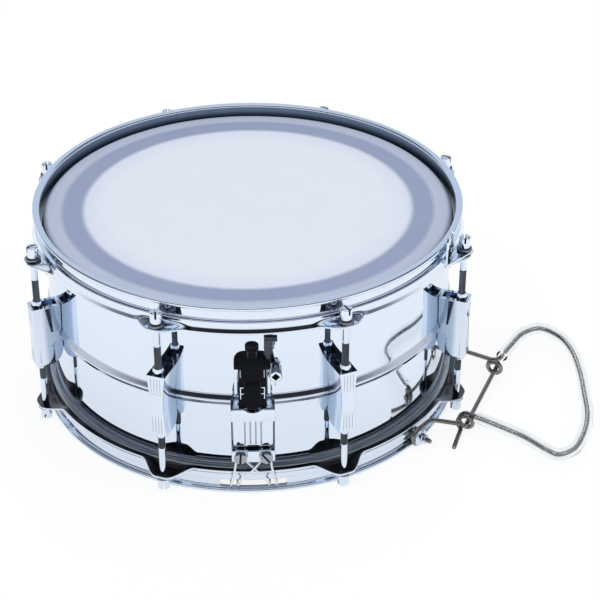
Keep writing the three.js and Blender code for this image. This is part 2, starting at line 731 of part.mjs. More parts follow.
// Strainer base: plate on the shell with a groove over the bead, two cheeks, the lever's ear
function strainerBase() {
  const back = SHELL_RADIUS + FIT;
  const face = back + STRAINER_BASE_STEEL;
  const half = STRAINER_BASE_HALF;
  const cheekFront = STRAINER_FRONT - CHEEK_SETBACK;
  const beadHalf = BEAD_WIDTH / 2 + FIT;
  let base = block(-half, half, back, face, STRAINER_BASE_BOTTOM, STRAINER_CAP_BOTTOM - FIT);
  base = base.subtract(block(-half - OVERRUN, half + OVERRUN, back - OVERRUN, BEAD_RADIUS + FIT,
    BEAD_CENTRE_Z - beadHalf, BEAD_CENTRE_Z + beadHalf));
  for (const side of [-1, 1]) {
    const inner = side * (half - STRAINER_CHEEK);
    const outer = side * half;
    base = base.add(block(Math.min(inner, outer), Math.max(inner, outer), face - OVERRUN, cheekFront,
      STRAINER_CHEEK_BOTTOM, STRAINER_CAP_BOTTOM - FIT));
  }
  const earFront = LEVER_BACK - FIT;
  const ear = block(half - STRAINER_CHEEK, LEVER_AXIS_X + LEVER_EAR_MARGIN, earFront - LEVER_EAR_STEEL,
    earFront, LEVER_AXIS_Z - LEVER_EAR_MARGIN - LEVER_EAR_STEEL, LEVER_AXIS_Z + LEVER_EAR_MARGIN);
  const capNotch = block(0, half + FIT, earFront - LEVER_EAR_STEEL - OVERRUN, earFront + OVERRUN,
    STRAINER_CAP_BOTTOM - FIT, LEVER_AXIS_Z + LEVER_EAR_MARGIN + OVERRUN);
  const hole = outwardBar(LEVER_PIN_RADIUS + FIT, LEVER_AXIS_X, LEVER_AXIS_Z,
    earFront - LEVER_EAR_STEEL - OVERRUN, earFront + OVERRUN, ROD_SIDES);
  return base.subtract(leverSlot()).add(ear.subtract(capNotch)).subtract(hole);
}

// The space that the lever and its hub turn in, cut from the cap and the right cheek
function leverSlot() {
  const hubSpace = outwardBar(LEVER_HUB_RADIUS + FIT + FIT, LEVER_AXIS_X, LEVER_AXIS_Z,
    LEVER_BACK - FIT, STRAINER_FRONT + OVERRUN, ROUND_SIDES);
  const armSpace = block(LEVER_ARM_LEFT - FIT, STRAINER_BASE_HALF + OVERRUN, LEVER_BACK - FIT,
    LEVER_BACK + LEVER_STEEL + FIT, LEVER_AXIS_Z - LEVER_HUB_RADIUS - OVERRUN,
    STRAINER_TOP + OVERRUN);
  return armSpace.add(hubSpace);
}

// Housing seen from the front: a body between the cheeks under a round-shouldered cap
function housingShape() {
  const body = STRAINER_BASE_HALF - STRAINER_CHEEK - FIT;
  const cap = STRAINER_BASE_HALF;
  const shape = new THREE.Shape();
  shape.moveTo(-body, HOUSING_BOTTOM);
  shape.lineTo(body, HOUSING_BOTTOM);
  shape.lineTo(body, STRAINER_CAP_BOTTOM);
  shape.lineTo(cap, STRAINER_CAP_BOTTOM);
  shape.lineTo(cap, STRAINER_TOP - STRAINER_SHOULDER_DROP);
  shape.quadraticCurveTo(cap, STRAINER_TOP, cap - STRAINER_SHOULDER, STRAINER_TOP);
  shape.lineTo(STRAINER_SHOULDER - cap, STRAINER_TOP);
  shape.quadraticCurveTo(-cap, STRAINER_TOP, -cap, STRAINER_TOP - STRAINER_SHOULDER_DROP);
  shape.lineTo(-cap, STRAINER_CAP_BOTTOM);
  shape.lineTo(-body, STRAINER_CAP_BOTTOM);
  return shape;
}

function strainerHousing() {
  const back = SHELL_RADIUS + STRAINER_BASE_STEEL + FIT + FIT;
  const pocket = SLIDE_HALF + FIT;
  let housing = frontPrism(housingShape(), back, STRAINER_FRONT, 4);
  housing = housing.subtract(block(-pocket, pocket, STRAINER_FRONT - SLIDE_DEPTH - FIT,
    STRAINER_FRONT + OVERRUN, HOUSING_BOTTOM - OVERRUN, SLIDE_TOP + FIT));
  housing = housing.subtract(block(-WINDOW_HALF, WINDOW_HALF, STRAINER_FRONT - WINDOW_DEPTH,
    STRAINER_FRONT + OVERRUN, WINDOW_BOTTOM, WINDOW_TOP));
  return housing.subtract(leverSlot()).subtract(uprightBar(SCREW_BORE_RADIUS, 0, KNOB_AXIS_RADIUS,
    HOUSING_BOTTOM - OVERRUN, STRAINER_TOP + OVERRUN, ROD_SIDES));
}

// Fine tension knob: a neck flaring to a notched rim
function tensionKnob() {
  const base = STRAINER_TOP + FIT;
  const rimBottom = base + KNOB_NECK + KNOB_FLARE;
  const profile = [
    [0, base],
    [KNOB_NECK_RADIUS, base],
    [KNOB_NECK_RADIUS, base + KNOB_NECK],
    [KNOB_RADIUS - KNURL_DEPTH, rimBottom],
    [0, rimBottom],
  ];
  const neck = toSolid(lathe(profile, KNOB_FLATS).translate(0, -KNOB_AXIS_RADIUS, 0));
  const outline = [];
  for (let i = 0; i < 2 * KNOB_FLATS; i += 1) {
    const angle = Math.PI * i / KNOB_FLATS;
    const radius = i % 2 ? KNOB_RADIUS : KNOB_RADIUS - KNURL_DEPTH;
    outline.push([radius * Math.cos(angle), radius * Math.sin(angle)]);
  }
  const rim = extrude(polygon(outline), KNOB_RIM).translate(0, -KNOB_AXIS_RADIUS, rimBottom);
  return neck.add(toSolid(rim));
}

function tensionScrew() {
  return uprightBar(TENSION_SCREW_RADIUS, 0, KNOB_AXIS_RADIUS, STRAINER_TOP - TENSION_SCREW_LENGTH,
    STRAINER_TOP, ROD_SIDES);
}

// Release slide: a bar with a round lower end that stands proud of the housing
function releaseSlide() {
  const shape = new THREE.Shape();
  const centre = SLIDE_TIP + SLIDE_HALF;
  shape.moveTo(-SLIDE_HALF, SLIDE_TOP);
  shape.lineTo(-SLIDE_HALF, centre);
  shape.absarc(0, centre, SLIDE_HALF, Math.PI, TAU, false);
  shape.lineTo(SLIDE_HALF, SLIDE_TOP);
  const slideFront = STRAINER_FRONT + SLIDE_PROUD;
  return frontPrism(shape, STRAINER_FRONT - SLIDE_DEPTH, slideFront, 8);
}

// Lever seen from the front: a ring on the hub's pin, an arm leaning back over the cap
function throwOffLever() {
  const front = LEVER_BACK + LEVER_STEEL;
  const arm = frontPrism(polygon([
    [LEVER_ARM_LEFT + LEVER_STEEL, LEVER_AXIS_Z + LEVER_HUB_RADIUS],
    [LEVER_AXIS_X - LEVER_HUB_RADIUS, LEVER_AXIS_Z - LEVER_STEEL],
    [LEVER_AXIS_X, LEVER_AXIS_Z - LEVER_HUB_RADIUS],
    [LEVER_AXIS_X + LEVER_HUB_RADIUS, LEVER_AXIS_Z],
    [LEVER_AXIS_X, LEVER_AXIS_Z + LEVER_HUB_RADIUS],
    [LEVER_ARM_RIGHT, LEVER_AXIS_Z + LEVER_KINK],
    [LEVER_ARM_RIGHT, LEVER_TOP],
    [LEVER_ARM_LEFT, LEVER_TOP],
    [LEVER_ARM_LEFT, LEVER_AXIS_Z + LEVER_KINK],
  ].reverse()), LEVER_BACK, front);
  const hook = block(LEVER_ARM_LEFT, LEVER_ARM_LEFT + LEVER_HOOK_WIDTH, LEVER_BACK,
    front + LEVER_HOOK_REACH, LEVER_TOP, LEVER_TOP + LEVER_HOOK_THICKNESS);
  const hole = outwardBar(LEVER_PIN_RADIUS + FIT, LEVER_AXIS_X, LEVER_AXIS_Z,
    LEVER_BACK - OVERRUN, front + OVERRUN, ROD_SIDES);
  return arm.add(hook).subtract(hole);
}

// Lever hub: a thick barrel with a square socket in its face and a pin through lever and ear
function leverHub() {
  const back = LEVER_BACK + LEVER_STEEL + FIT;
  const front = back + LEVER_HUB_LENGTH;
  const barrel = outwardBar(LEVER_HUB_RADIUS, LEVER_AXIS_X, LEVER_AXIS_Z, back, front, ROUND_SIDES);
  const pin = outwardBar(LEVER_PIN_RADIUS, LEVER_AXIS_X, LEVER_AXIS_Z,
    LEVER_BACK - FIT - LEVER_EAR_STEEL, back + OVERRUN, ROD_SIDES);
  const socket = new THREE.BoxGeometry(LEVER_SOCKET, 2 * LEVER_SOCKET_DEPTH, LEVER_SOCKET);
  socket.rotateY(Math.PI / 4).translate(LEVER_AXIS_X, -front, LEVER_AXIS_Z);
  return barrel.add(pin).subtract(toSolid(socket));
}

// Carriage: a tray under the housing, ears at its sides, a round cradle in its front lip, and
// the fluted plate below it
function snareCarriage() {
  const floorBottom = CARRIAGE_FLOOR_TOP - CARRIAGE_STEEL;
  let carriage = block(-CARRIAGE_HALF, CARRIAGE_HALF, CARRIAGE_BACK, CARRIAGE_FRONT,
    floorBottom, CARRIAGE_FLOOR_TOP);
  const lip = block(-CARRIAGE_HALF, CARRIAGE_HALF, CARRIAGE_FRONT, CARRIAGE_FRONT + CARRIAGE_STEEL,
    floorBottom, CRADLE_TOP);
  const cradle = outwardBar(SLIDE_HALF + ADJUST_TRAVEL + FIT, 0, SLIDE_TIP + SLIDE_HALF,
    CARRIAGE_FRONT - OVERRUN, CARRIAGE_FRONT + CARRIAGE_STEEL + OVERRUN, CRADLE_SIDES);
  carriage = carriage.add(lip.subtract(cradle));
  for (const side of [-1, 1]) {
    const inner = side * (CARRIAGE_HALF - CARRIAGE_STEEL);
    const outer = side * CARRIAGE_HALF;
    carriage = carriage.add(block(Math.min(inner, outer), Math.max(inner, outer), CARRIAGE_BACK,
      CARRIAGE_FRONT + CARRIAGE_STEEL, floorBottom, CARRIAGE_EAR_TOP));
  }
  const plate = new THREE.Shape();
  plate.moveTo(-CARRIAGE_HALF, floorBottom);
  plate.lineTo(-PLATE_HALF, floorBottom - PLATE_CORNER);
  plate.lineTo(-PLATE_HALF, PLATE_BOTTOM + PLATE_CORNER);
  plate.quadraticCurveTo(-PLATE_HALF, PLATE_BOTTOM, PLATE_CORNER - PLATE_HALF, PLATE_BOTTOM);
  plate.lineTo(PLATE_HALF - PLATE_CORNER, PLATE_BOTTOM);
  plate.quadraticCurveTo(PLATE_HALF, PLATE_BOTTOM, PLATE_HALF, PLATE_BOTTOM + PLATE_CORNER);
  plate.lineTo(PLATE_HALF, floorBottom - PLATE_CORNER);
  plate.lineTo(CARRIAGE_HALF, floorBottom);
  const plateBack = PLATE_FRONT - PLATE_THICKNESS;
  carriage = carriage.add(frontPrism(plate, plateBack, PLATE_FRONT, 3));
  const guideBack = SHELL_RADIUS + STRAINER_BASE_STEEL + FIT + FIT;
  carriage = carriage.add(block(-WEB_HALF, WEB_HALF, guideBack, plateBack + OVERRUN,
    PLATE_BOTTOM + PLATE_CORNER, floorBottom + OVERRUN));
  carriage = carriage.add(block(-CLAMP_HALF, CLAMP_HALF, CLAMP_TAIL_FRONT - CLAMP_TAIL_STEEL,
    CLAMP_TAIL_FRONT, CLAMP_BOTTOM, PLATE_BOTTOM + PLATE_CORNER));
  for (let i = 0; i < FLUTE_COUNT; i += 1) {
    const x = (i - (FLUTE_COUNT - 1) / 2) * PLATE_FLUTE_PITCH;
    carriage = carriage.subtract(block(x - PLATE_FLUTE_WIDTH / 2, x + PLATE_FLUTE_WIDTH / 2,
      PLATE_FRONT - PLATE_FLUTE_DEPTH, PLATE_FRONT + OVERRUN,
      PLATE_BOTTOM + PLATE_FLUTE_MARGIN, floorBottom - PLATE_FLUTE_MARGIN));
  }
  return carriage.subtract(clampHoles());
}

function clampHoles() {
  let holes = null;
  for (const side of [-1, 1]) {
    const hole = outwardBar(CLAMP_SCREW_RADIUS + FIT, side * CLAMP_SCREW_X, CLAMP_MID_Z,
      CLAMP_TAIL_FRONT - CLAMP_TAIL_STEEL - OVERRUN, CLAMP_BAR_FRONT + CLAMP_CENTRE_STEP + OVERRUN,
      ROD_SIDES);
    holes = holes ? holes.add(hole) : hole;
  }
  return holes;
}

// Clamp bar that holds the cords against the tail behind it
function clampBar() {
  const bar = block(-CLAMP_HALF, CLAMP_HALF, CLAMP_BAR_BACK, CLAMP_BAR_FRONT, CLAMP_BOTTOM,
    CLAMP_TOP - FIT);
  const centreHalf = CLAMP_SCREW_X - CLAMP_SCREW_HEAD_RADIUS - FIT;
  const centre = block(-centreHalf, centreHalf, CLAMP_BAR_BACK,
    CLAMP_BAR_FRONT + CLAMP_CENTRE_STEP, CLAMP_BOTTOM, CLAMP_TOP - FIT);
  return bar.add(centre).subtract(clampHoles());
}

function clampScrew(side) {
  const x = side * CLAMP_SCREW_X;
  const headBack = CLAMP_BAR_FRONT + FIT;
  const headFront = headBack + CLAMP_SCREW_HEAD;
  const shank = outwardBar(CLAMP_SCREW_RADIUS, x, CLAMP_MID_Z, CLAMP_TAIL_FRONT - CLAMP_TAIL_STEEL,
    headBack + OVERRUN, ROD_SIDES);
  const head = outwardBar(CLAMP_SCREW_HEAD_RADIUS, x, CLAMP_MID_Z, headBack, headFront, ROUND_SIDES);
  const slotReach = CLAMP_SCREW_HEAD_RADIUS + OVERRUN;
  const slot = block(x - SLOT_WIDTH / 2, x + SLOT_WIDTH / 2, headFront - SLOT_WIDTH,
    headFront + OVERRUN, CLAMP_MID_Z - slotReach, CLAMP_MID_Z + slotReach);
  return head.add(shank).subtract(slot);
}

// Butt bracket: a pad under the bead, a shelf out past the hoop and the clamp's tail
function buttBracket() {
  const back = SHELL_RADIUS + FIT;
  const pad = block(-BUTT_HALF, BUTT_HALF, back, back + BUTT_STEEL, BUTT_PAD_BOTTOM, BUTT_TOP);
  const shelf = block(-CLAMP_HALF, CLAMP_HALF, back, CLAMP_TAIL_FRONT, BUTT_PAD_BOTTOM,
    BUTT_PAD_BOTTOM + BUTT_STEEL);
  const tail = block(-CLAMP_HALF, CLAMP_HALF, CLAMP_TAIL_FRONT - CLAMP_TAIL_STEEL, CLAMP_TAIL_FRONT,
    CLAMP_BOTTOM, BUTT_PAD_BOTTOM + BUTT_STEEL);
  return pad.add(shelf).add(tail).subtract(clampHoles());
}

// Snares: parallel strands between two end plates, slotted for the cords
function snareWires() {
  const width = (SNARE_STRANDS - 1) * SNARE_STRAND_PITCH + SNARE_STRAND_WIDTH + 2 * SNARE_PLATE_MARGIN;
  const inner = SNARE_PLATE_CENTRE - SNARE_PLATE_DEPTH / 2;
  const outer = SNARE_PLATE_CENTRE + SNARE_PLATE_DEPTH / 2;
  let plate = block(-width / 2, width / 2, inner, outer, SNARE_Z - SNARE_PLATE_STEEL / 2,
    SNARE_Z + SNARE_PLATE_STEEL / 2);
  for (const x of [-CORD_OUTER_X, -CORD_INNER_X, CORD_INNER_X, CORD_OUTER_X]) {
    plate = plate.subtract(block(x - SNARE_SLOT_WIDTH / 2, x + SNARE_SLOT_WIDTH / 2,
      outer - SNARE_SLOT_DEPTH, outer + OVERRUN, SNARE_Z - OVERRUN, SNARE_Z + OVERRUN));
  }
  let wires = plate.add(plate.rotate([0, 0, HALF_TURN_DEGREES]));
  const reach = inner + SNARE_ON_PLATE;
  for (let i = 0; i < SNARE_STRANDS; i += 1) {
    const x = (i - (SNARE_STRANDS - 1) / 2) * SNARE_STRAND_PITCH;
    wires = wires.add(block(x - SNARE_STRAND_WIDTH / 2, x + SNARE_STRAND_WIDTH / 2, -reach, reach,
      SNARE_Z - SNARE_STRAND_WIDTH / 2, SNARE_Z + SNARE_STRAND_WIDTH / 2));
  }
  return wires;
}

// A snare cord from the clamp, in through the gate to the end plate, and back across to the
// clamp's other screw. Its points stay as chosen: across, outward from the shell, up.
function snareCord(side, crossing) {
  const clamped = CORD_CLAMP_RADIUS - SHELL_RADIUS;
  const route = [
    [14.2, clamped, 50.5], [14.2, clamped, 40.5], [15.2, 14.4, 30], [17.6, 12.6, 17],
    [18.8, 10.4, 10.4], [19, 6.8, 7.5], [19, 1.2, 7.2], [19, -20.8, 7.2],
    [18.9, -25, 6.2], [18, -26.2, 4.8], [14.6, -26.2, 4.8], [13.7, -25, 6.2],
    [13.6, -20.8, 7.2], [13.6, 1.2, 7.2], [13.4, 6.8, 7.5], [12.6, 10.4, 10.4], [10, 13.1, 17],
    [0.4, 14.6 + crossing, 29], [-7, clamped, 40.5], [-7, clamped, 50.5],
  ];
  const points = route.map(([x, out, z]) => at(side * x, SHELL_RADIUS + out, z));
  return sweep(points, CORD_RADIUS, CORD_SIDES);
}

// Leg rest eye round a bolt: an open ring that the wire leaves at its top, along the hoop
function boltEye(angleDegrees, side, runLength) {
  const angle = THREE.MathUtils.degToRad(angleDegrees);
  const centre = at(LEG_EYE_CIRCLE * Math.sin(angle), LEG_EYE_CIRCLE * Math.cos(angle), LEG_EYE_Z);
  const along = new THREE.Vector3(side * Math.cos(angle), side * Math.sin(angle), 0);
  const points = [];
  for (let i = 0; i <= LOOP_EYE_STEPS; i += 1) {
    const turn = THREE.MathUtils.degToRad(LEG_EYE_SWEEP * (i / LOOP_EYE_STEPS - 1));
    const point = centre.clone().addScaledVector(along, LEG_EYE_RADIUS * Math.sin(turn));
    point.z += LEG_EYE_RADIUS * Math.cos(turn);
    points.push(point);
  }
  const run = points[LOOP_EYE_STEPS].clone().addScaledVector(along, runLength);
  return { points, run };
}

// Leg rest bracket: eye, arm, bar, arm, eye in one bent wire
function legRestBracket() {
  const first = boltEye(LEG_EYE_ANGLE_1, 1, LEG_EYE_RUN_1);
  const second = boltEye(LEG_EYE_ANGLE_2, -1, LEG_EYE_RUN_2);
  const armEnd = LEG_BAR_REACH - LEG_ARM_SETBACK;
  const corners = [
    first.points[LOOP_EYE_STEPS],
    first.run,
    at(LEG_BAR_X1, armEnd, LEG_ARM_Z),
    at(LEG_BAR_X1, LEG_BAR_REACH, LEG_BAR_Z),
    at(LEG_BAR_X2, LEG_BAR_REACH, LEG_BAR_Z),
    at(LEG_BAR_X2, armEnd, LEG_ARM_Z),
    second.run,
    second.points[LOOP_EYE_STEPS],
  ];
  const points = [
    ...first.points.slice(0, -1),
    ...bent(corners, LEG_BEND),
    ...second.points.slice(0, -1).reverse(),
  ];
  return sweep(points, LEG_WIRE_RADIUS, WIRE_SIDES);
}

// Points of one of the loop's coils round the bar, from its top inward and under
function barCoil(x, turnDegrees) {
  const points = [];
  const steps = Math.ceil(turnDegrees * LOOP_EYE_STEPS / 360);
  for (let i = 0; i <= steps; i += 1) {
    const degrees = turnDegrees * i / steps;
    const turn = THREE.MathUtils.degToRad(degrees);
    points.push(at(x - LOOP_EYE_PITCH * degrees / 360,
      LOOP_COIL_REACH - LOOP_EYE_RADIUS * Math.sin(turn), LEG_BAR_Z + LOOP_EYE_RADIUS * Math.cos(turn)));
  }
  return points;
}

// The loop's open curve between the tops of its two coils
function loopCurve() {
  const top = LEG_BAR_Z + LOOP_EYE_RADIUS;
  const through = LOOP_POINT_SHARES.map(([across, out]) => at(across * LOOP_REACH,
    LOOP_COIL_REACH + out * LOOP_REACH, THREE.MathUtils.lerp(top, LOOP_OUTER_Z, out)));
  const knots = [at(LOOP_EYE_X1, LOOP_COIL_REACH, top), ...through, at(LOOP_EYE_X2, LOOP_COIL_REACH, top)];
  return new THREE.CatmullRomCurve3(knots, false, 'centripetal').getPoints(LOOP_STEPS);
}

// Leg rest loop: a tail along below the first arm, a coil, the loop, and the second coil
function legRestLoop() {
  const coil = barCoil(LOOP_EYE_X1, LOOP_COIL_TURN_1).reverse();
  const tailStart = coil[0].clone();
  tailStart.x -= LEG_WIRE_RADIUS;
  const tailEnd = tailStart.clone();
  tailEnd.x -= LOOP_TAIL;
  tailEnd.y -= LOOP_TAIL_LEAN;
  const points = [
    tailEnd,
    tailStart,
    ...coil.slice(1),
    ...loopCurve().slice(1),
    ...barCoil(LOOP_EYE_X2, LOOP_COIL_TURN_2).slice(1),
  ];
  return sweep(points, LEG_WIRE_RADIUS, WIRE_SIDES);
}

// A run of points with a length cut from its start
function shortened(points, length) {
  let left = length;
  let next = 1;
  let step = points[1].distanceTo(points[0]);
  while (step < left) {
    left -= step;
    next += 1;
    step = points[next].distanceTo(points[next - 1]);
  }
  const start = points[next - 1].clone().lerp(points[next], left / step);
  return [start, ...points.slice(next)];
}

// The sleeve on the loop, from where the loop leaves one coil to where it meets the other
function loopSleeve() {
  const points = shortened(shortened(loopCurve(), SLEEVE_START).reverse(), SLEEVE_START);
  return sweep(points, SLEEVE_RADIUS, SLEEVE_SIDES, SLEEVE_BORE_RADIUS, SLEEVE_BORE_SIDES);
}

// Leg rest bolt: its shank through the hoop, and a collared hexagon nut outside the eye
function legRestBolt() {
  const seat = LEG_EYE_CIRCLE + LEG_WIRE_RADIUS + FIT;
  const face = seat + BOLT_WASHER + BOLT_HEAD;
  const collar = outwardBar(BOLT_WASHER_RADIUS, 0, LEG_EYE_Z, seat, seat + BOLT_WASHER, ROUND_SIDES);
  const nut = outwardBar(BOLT_HEAD_RADIUS, 0, LEG_EYE_Z, seat, face, HEXAGON);
  const shank = outwardBar(BOLT_RADIUS, 0, LEG_EYE_Z, WALL_INNER, face + BOLT_TIP, ROD_SIDES);
  return collar.add(nut).add(shank);
}

function legRestSpacer() {
  const back = WALL_OUTER + FIT;
  const front = LEG_EYE_CIRCLE - LEG_WIRE_RADIUS - FIT;
  return outwardBar(SPACER_RADIUS, 0, LEG_EYE_Z, back, front, ROUND_SIDES)
    .subtract(outwardBar(SPACER_BORE_RADIUS, 0, LEG_EYE_Z, back - OVERRUN, front + OVERRUN, ROD_SIDES));
}

// Hook bracket: a flat foot under the rod's washer and an upright plate beside the rim
function hookBracket() {
  const foot = OVERALL_HEIGHT - EAR_DEPTH + FIT;
  const inner = RIM_OUTER + HOOK_RIM_GAP;
  const outer = ROD_CIRCLE + HOOK_BASE_HALF;
  const plan = polygon([
    [HOOK_LEFT, -inner],
    [HOOK_LEFT, -inner - HOOK_STEEL],
    [-HOOK_BASE_HALF, -outer + HOOK_STEEL],
    [-HOOK_STEEL, -outer],
    [HOOK_STEEL, -outer],
    [HOOK_BASE_HALF, -outer + HOOK_STEEL],
    [HOOK_BASE_HALF, -inner - HOOK_STEEL],
    [HOOK_STEEL, -inner],
  ]);
  const base = toSolid(extrude(plan, HOOK_STEEL).translate(0, 0, foot));
  const top = foot + HOOK_HEIGHT;
  const corner = (HOOK_RIGHT - HOOK_LEFT) / 2;
  const face = new THREE.Shape();
  face.moveTo(HOOK_LEFT, foot);
  face.lineTo(HOOK_RIGHT, foot);
  face.lineTo(HOOK_RIGHT, top - corner);
  face.absarc(HOOK_LEFT + corner, top - corner, corner, 0, Math.PI, false);
  const upright = frontPrism(face, inner, inner + HOOK_STEEL, 5);
  let bracket = base.add(upright);
  for (const height of [HOOK_HOLE_LOW, HOOK_HOLE_HIGH]) {
    bracket = bracket.subtract(outwardBar(HOOK_HOLE_RADIUS, HOOK_HOLE_X, foot + height,
      inner - OVERRUN, inner + HOOK_STEEL + OVERRUN, ROD_SIDES));
  }
  return bracket.subtract(uprightBar(EAR_HOLE_RADIUS, 0, ROD_CIRCLE, foot - OVERRUN,
    foot + HOOK_STEEL + OVERRUN, ROD_SIDES));
}

// The drum, put together
const drum = new THREE.Group();
drum.position.z = -BATTER_FACE_Z;

addMesh(drum, 'shell', shell(), chrome);
addMesh(drum, 'batter_film', lathe(film(BATTER_FACE_Z, -1).reverse(), RING_STEPS), headFilm);
addMesh(drum, 'snare_film', lathe(film(SNARE_FACE_Z, 1), RING_STEPS), headFilm);

const dampingTop = BATTER_FACE_Z - FILM - FIT;
addMesh(drum, 'batter_damping_ring', closedLathe(ringProfile(DAMPING_RING_OUTER - DAMPING_RING_WIDTH,
  DAMPING_RING_OUTER, dampingTop - FILM, dampingTop), RING_STEPS), dampingFilm);

const batterFleshTop = OVERALL_HEIGHT - FLESH_DEPTH;
addMesh(drum, 'batter_flesh_hoop', closedLathe(ringProfile(FLESH_INNER, FLESH_OUTER,
  batterFleshTop - FLESH_HOOP_HEIGHT, batterFleshTop), RING_STEPS), aluminium);
addMesh(drum, 'snare_flesh_hoop', closedLathe(ringProfile(FLESH_INNER, FLESH_OUTER,
  FLESH_DEPTH, FLESH_DEPTH + FLESH_HOOP_HEIGHT), RING_STEPS), aluminium);

addMesh(drum, 'batter_hoop', counterHoop().translate([0, 0, OVERALL_HEIGHT]), chrome);
addMesh(drum, 'snare_hoop', snareHoop(), chrome);

const lugSolid = lug();
for (let i = 0; i < LUG_COUNT; i += 1) {
  const place = turned(drum, 360 * (i + 0.5) / LUG_COUNT);
  addMesh(place, `lug_${i + 1}`, lugSolid, chrome).position.z = MID_Z;
  const hookLift = i === HOOK_ROD ? HOOK_STEEL + FIT : 0;
  addMesh(place, `tension_rod_batter_${i + 1}`, tensionRod(hookLift), chrome);
  const lower = addMesh(place, `tension_rod_snare_${i + 1}`, tensionRod(0), chrome);
  lower.rotation.y = Math.PI;
  lower.position.z = OVERALL_HEIGHT;
}

addMesh(drum, 'strainer_base', strainerBase(), chrome);
addMesh(drum, 'strainer_housing', strainerHousing(), blackParts);
addMesh(drum, 'tension_knob', tensionKnob(), blackParts);
addMesh(drum, 'tension_screw', tensionScrew(), steelWire);
addMesh(drum, 'release_slide', releaseSlide(), blackParts);
addMesh(drum, 'throw_off_lever', throwOffLever(), chrome);
addMesh(drum, 'lever_hub', leverHub(), chrome);
addMesh(drum, 'snare_carriage', snareCarriage(), chrome);
addMesh(drum, 'snare_wires', snareWires(), snareSteel);

for (const [end, degrees] of [['front', 0], ['rear', HALF_TURN_DEGREES]]) {
  const place = turned(drum, degrees);
  addMesh(place, `${end}_cord_clamp`, clampBar(), chrome);
  addMesh(place, `${end}_clamp_screw_left`, clampScrew(-1), chrome);
  addMesh(place, `${end}_clamp_screw_right`, clampScrew(1), chrome);
  addMesh(place, `${end}_cord_left`, snareCord(-1, CORD_CROSSING), cordWhite);
  addMesh(place, `${end}_cord_right`, snareCord(1, -CORD_CROSSING), cordWhite);
}
addMesh(turned(drum, HALF_TURN_DEGREES), 'butt_bracket', buttBracket(), chrome);

const legRest = turned(drum, LEG_REST_ANGLE);
addMesh(legRest, 'leg_rest_bracket', legRestBracket(), steelWire);
addMesh(legRest, 'leg_rest_loop', legRestLoop(), steelWire);
addMesh(legRest, 'leg_rest_sleeve', loopSleeve(), clearVinyl);
for (const [number, angle] of [[1, LEG_EYE_ANGLE_1], [2, LEG_EYE_ANGLE_2]]) {
  const place = turned(legRest, angle);
  addMesh(place, `leg_rest_bolt_${number}`, legRestBolt(), chrome);
  addMesh(place, `leg_rest_spacer_${number}`, legRestSpacer(), washerGrey);
}

const hookPlace = turned(drum, 360 * (HOOK_ROD + 0.5) / LUG_COUNT);
addMesh(hookPlace, 'hook_bracket', hookBracket(), chrome);

const marchingSnareDrum = new THREE.Group();
marchingSnareDrum.add(drum);
export default marchingSnareDrum;
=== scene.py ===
"""Looks of the marching snare drum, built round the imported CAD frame.

Sizes are millimetres in the drum's own frame, z up from the lower rim's plane, and P() turns
them into metres in the part's frame. Pieces round the drum are drawn at the front, where
outward is -Y, and turned about Z. A part here is a list of points, faces and material indices.
"""
from math import asin, atan2, copysign, cos, hypot, pi, radians, sin, sqrt

import bmesh
import bpy
from mathutils import Matrix, Vector

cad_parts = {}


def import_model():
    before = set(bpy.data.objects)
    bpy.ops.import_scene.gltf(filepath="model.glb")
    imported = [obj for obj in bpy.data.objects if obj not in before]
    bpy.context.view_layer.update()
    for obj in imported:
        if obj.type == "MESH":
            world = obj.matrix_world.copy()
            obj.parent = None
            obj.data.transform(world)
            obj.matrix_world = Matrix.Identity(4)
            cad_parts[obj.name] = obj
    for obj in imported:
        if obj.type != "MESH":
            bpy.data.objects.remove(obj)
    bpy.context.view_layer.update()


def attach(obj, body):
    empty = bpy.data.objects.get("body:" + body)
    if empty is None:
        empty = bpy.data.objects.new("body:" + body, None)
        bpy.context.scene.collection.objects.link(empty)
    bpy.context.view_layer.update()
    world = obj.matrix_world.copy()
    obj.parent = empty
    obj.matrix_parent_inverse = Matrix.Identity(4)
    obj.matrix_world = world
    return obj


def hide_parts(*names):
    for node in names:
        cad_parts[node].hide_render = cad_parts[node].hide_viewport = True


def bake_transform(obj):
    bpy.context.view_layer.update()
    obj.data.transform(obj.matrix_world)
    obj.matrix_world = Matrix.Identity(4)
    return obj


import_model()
scene = bpy.context.scene

MM = 0.001
FACE_Z = 173.4                    # the batter head's face
HEIGHT = 182.0
MID_Z = HEIGHT / 2
SHELL_R = 177.8
FIT = 0.3                         # gap between two seated pieces
LUGS = 8
LUG_PITCH = 360 / LUGS
FIRST_LUG = LUG_PITCH / 2
SIDES = (("left", -1), ("right", 1))

# Hoop
BAND_IN, BAND_OUT = 184.1, 186.4
WALL_IN, WALL_OUT = 180.8, 183.1
RIM_OUT, RIM_DEPTH = 187.1, 3.5
STEP_DEPTH = 13.6
STEEL = 2.3
SKIRT_R, SKIRT_DEPTH = 188.6, 21.6
EAR_R, EAR_DEPTH = 203.1, 17.5

# Rod and lug
ROD_CIRCLE = 196.2
ROD_R = 3.0
ROD_HEAD, ROD_HEAD_R, HEAD_DOME = 11.0, 4.9, 1.1
ROD_WASHER = 2.3
LUG_FRONT, LUG_BACK = 203.2, 178.1
LUG_HALF = 28.75
BEAD_Z, BEAD_RISE, BEAD_HALF, BEAD_FLAT = 88.5, 2.4, 5.3, 0.75
BEAD_REACH = 8

# Strainer and clamps
STRAINER_FRONT = 203.0
KNOB_AXIS = 192.5
LEVER_X, LEVER_Z = 18.5, 131.6
SLIDE_Z, SLIDE_HALF = 103.8, 6.6
CLAMP_HALF, CLAMP_Z = 17.8, 41.4
SCREW_Z = 46.85

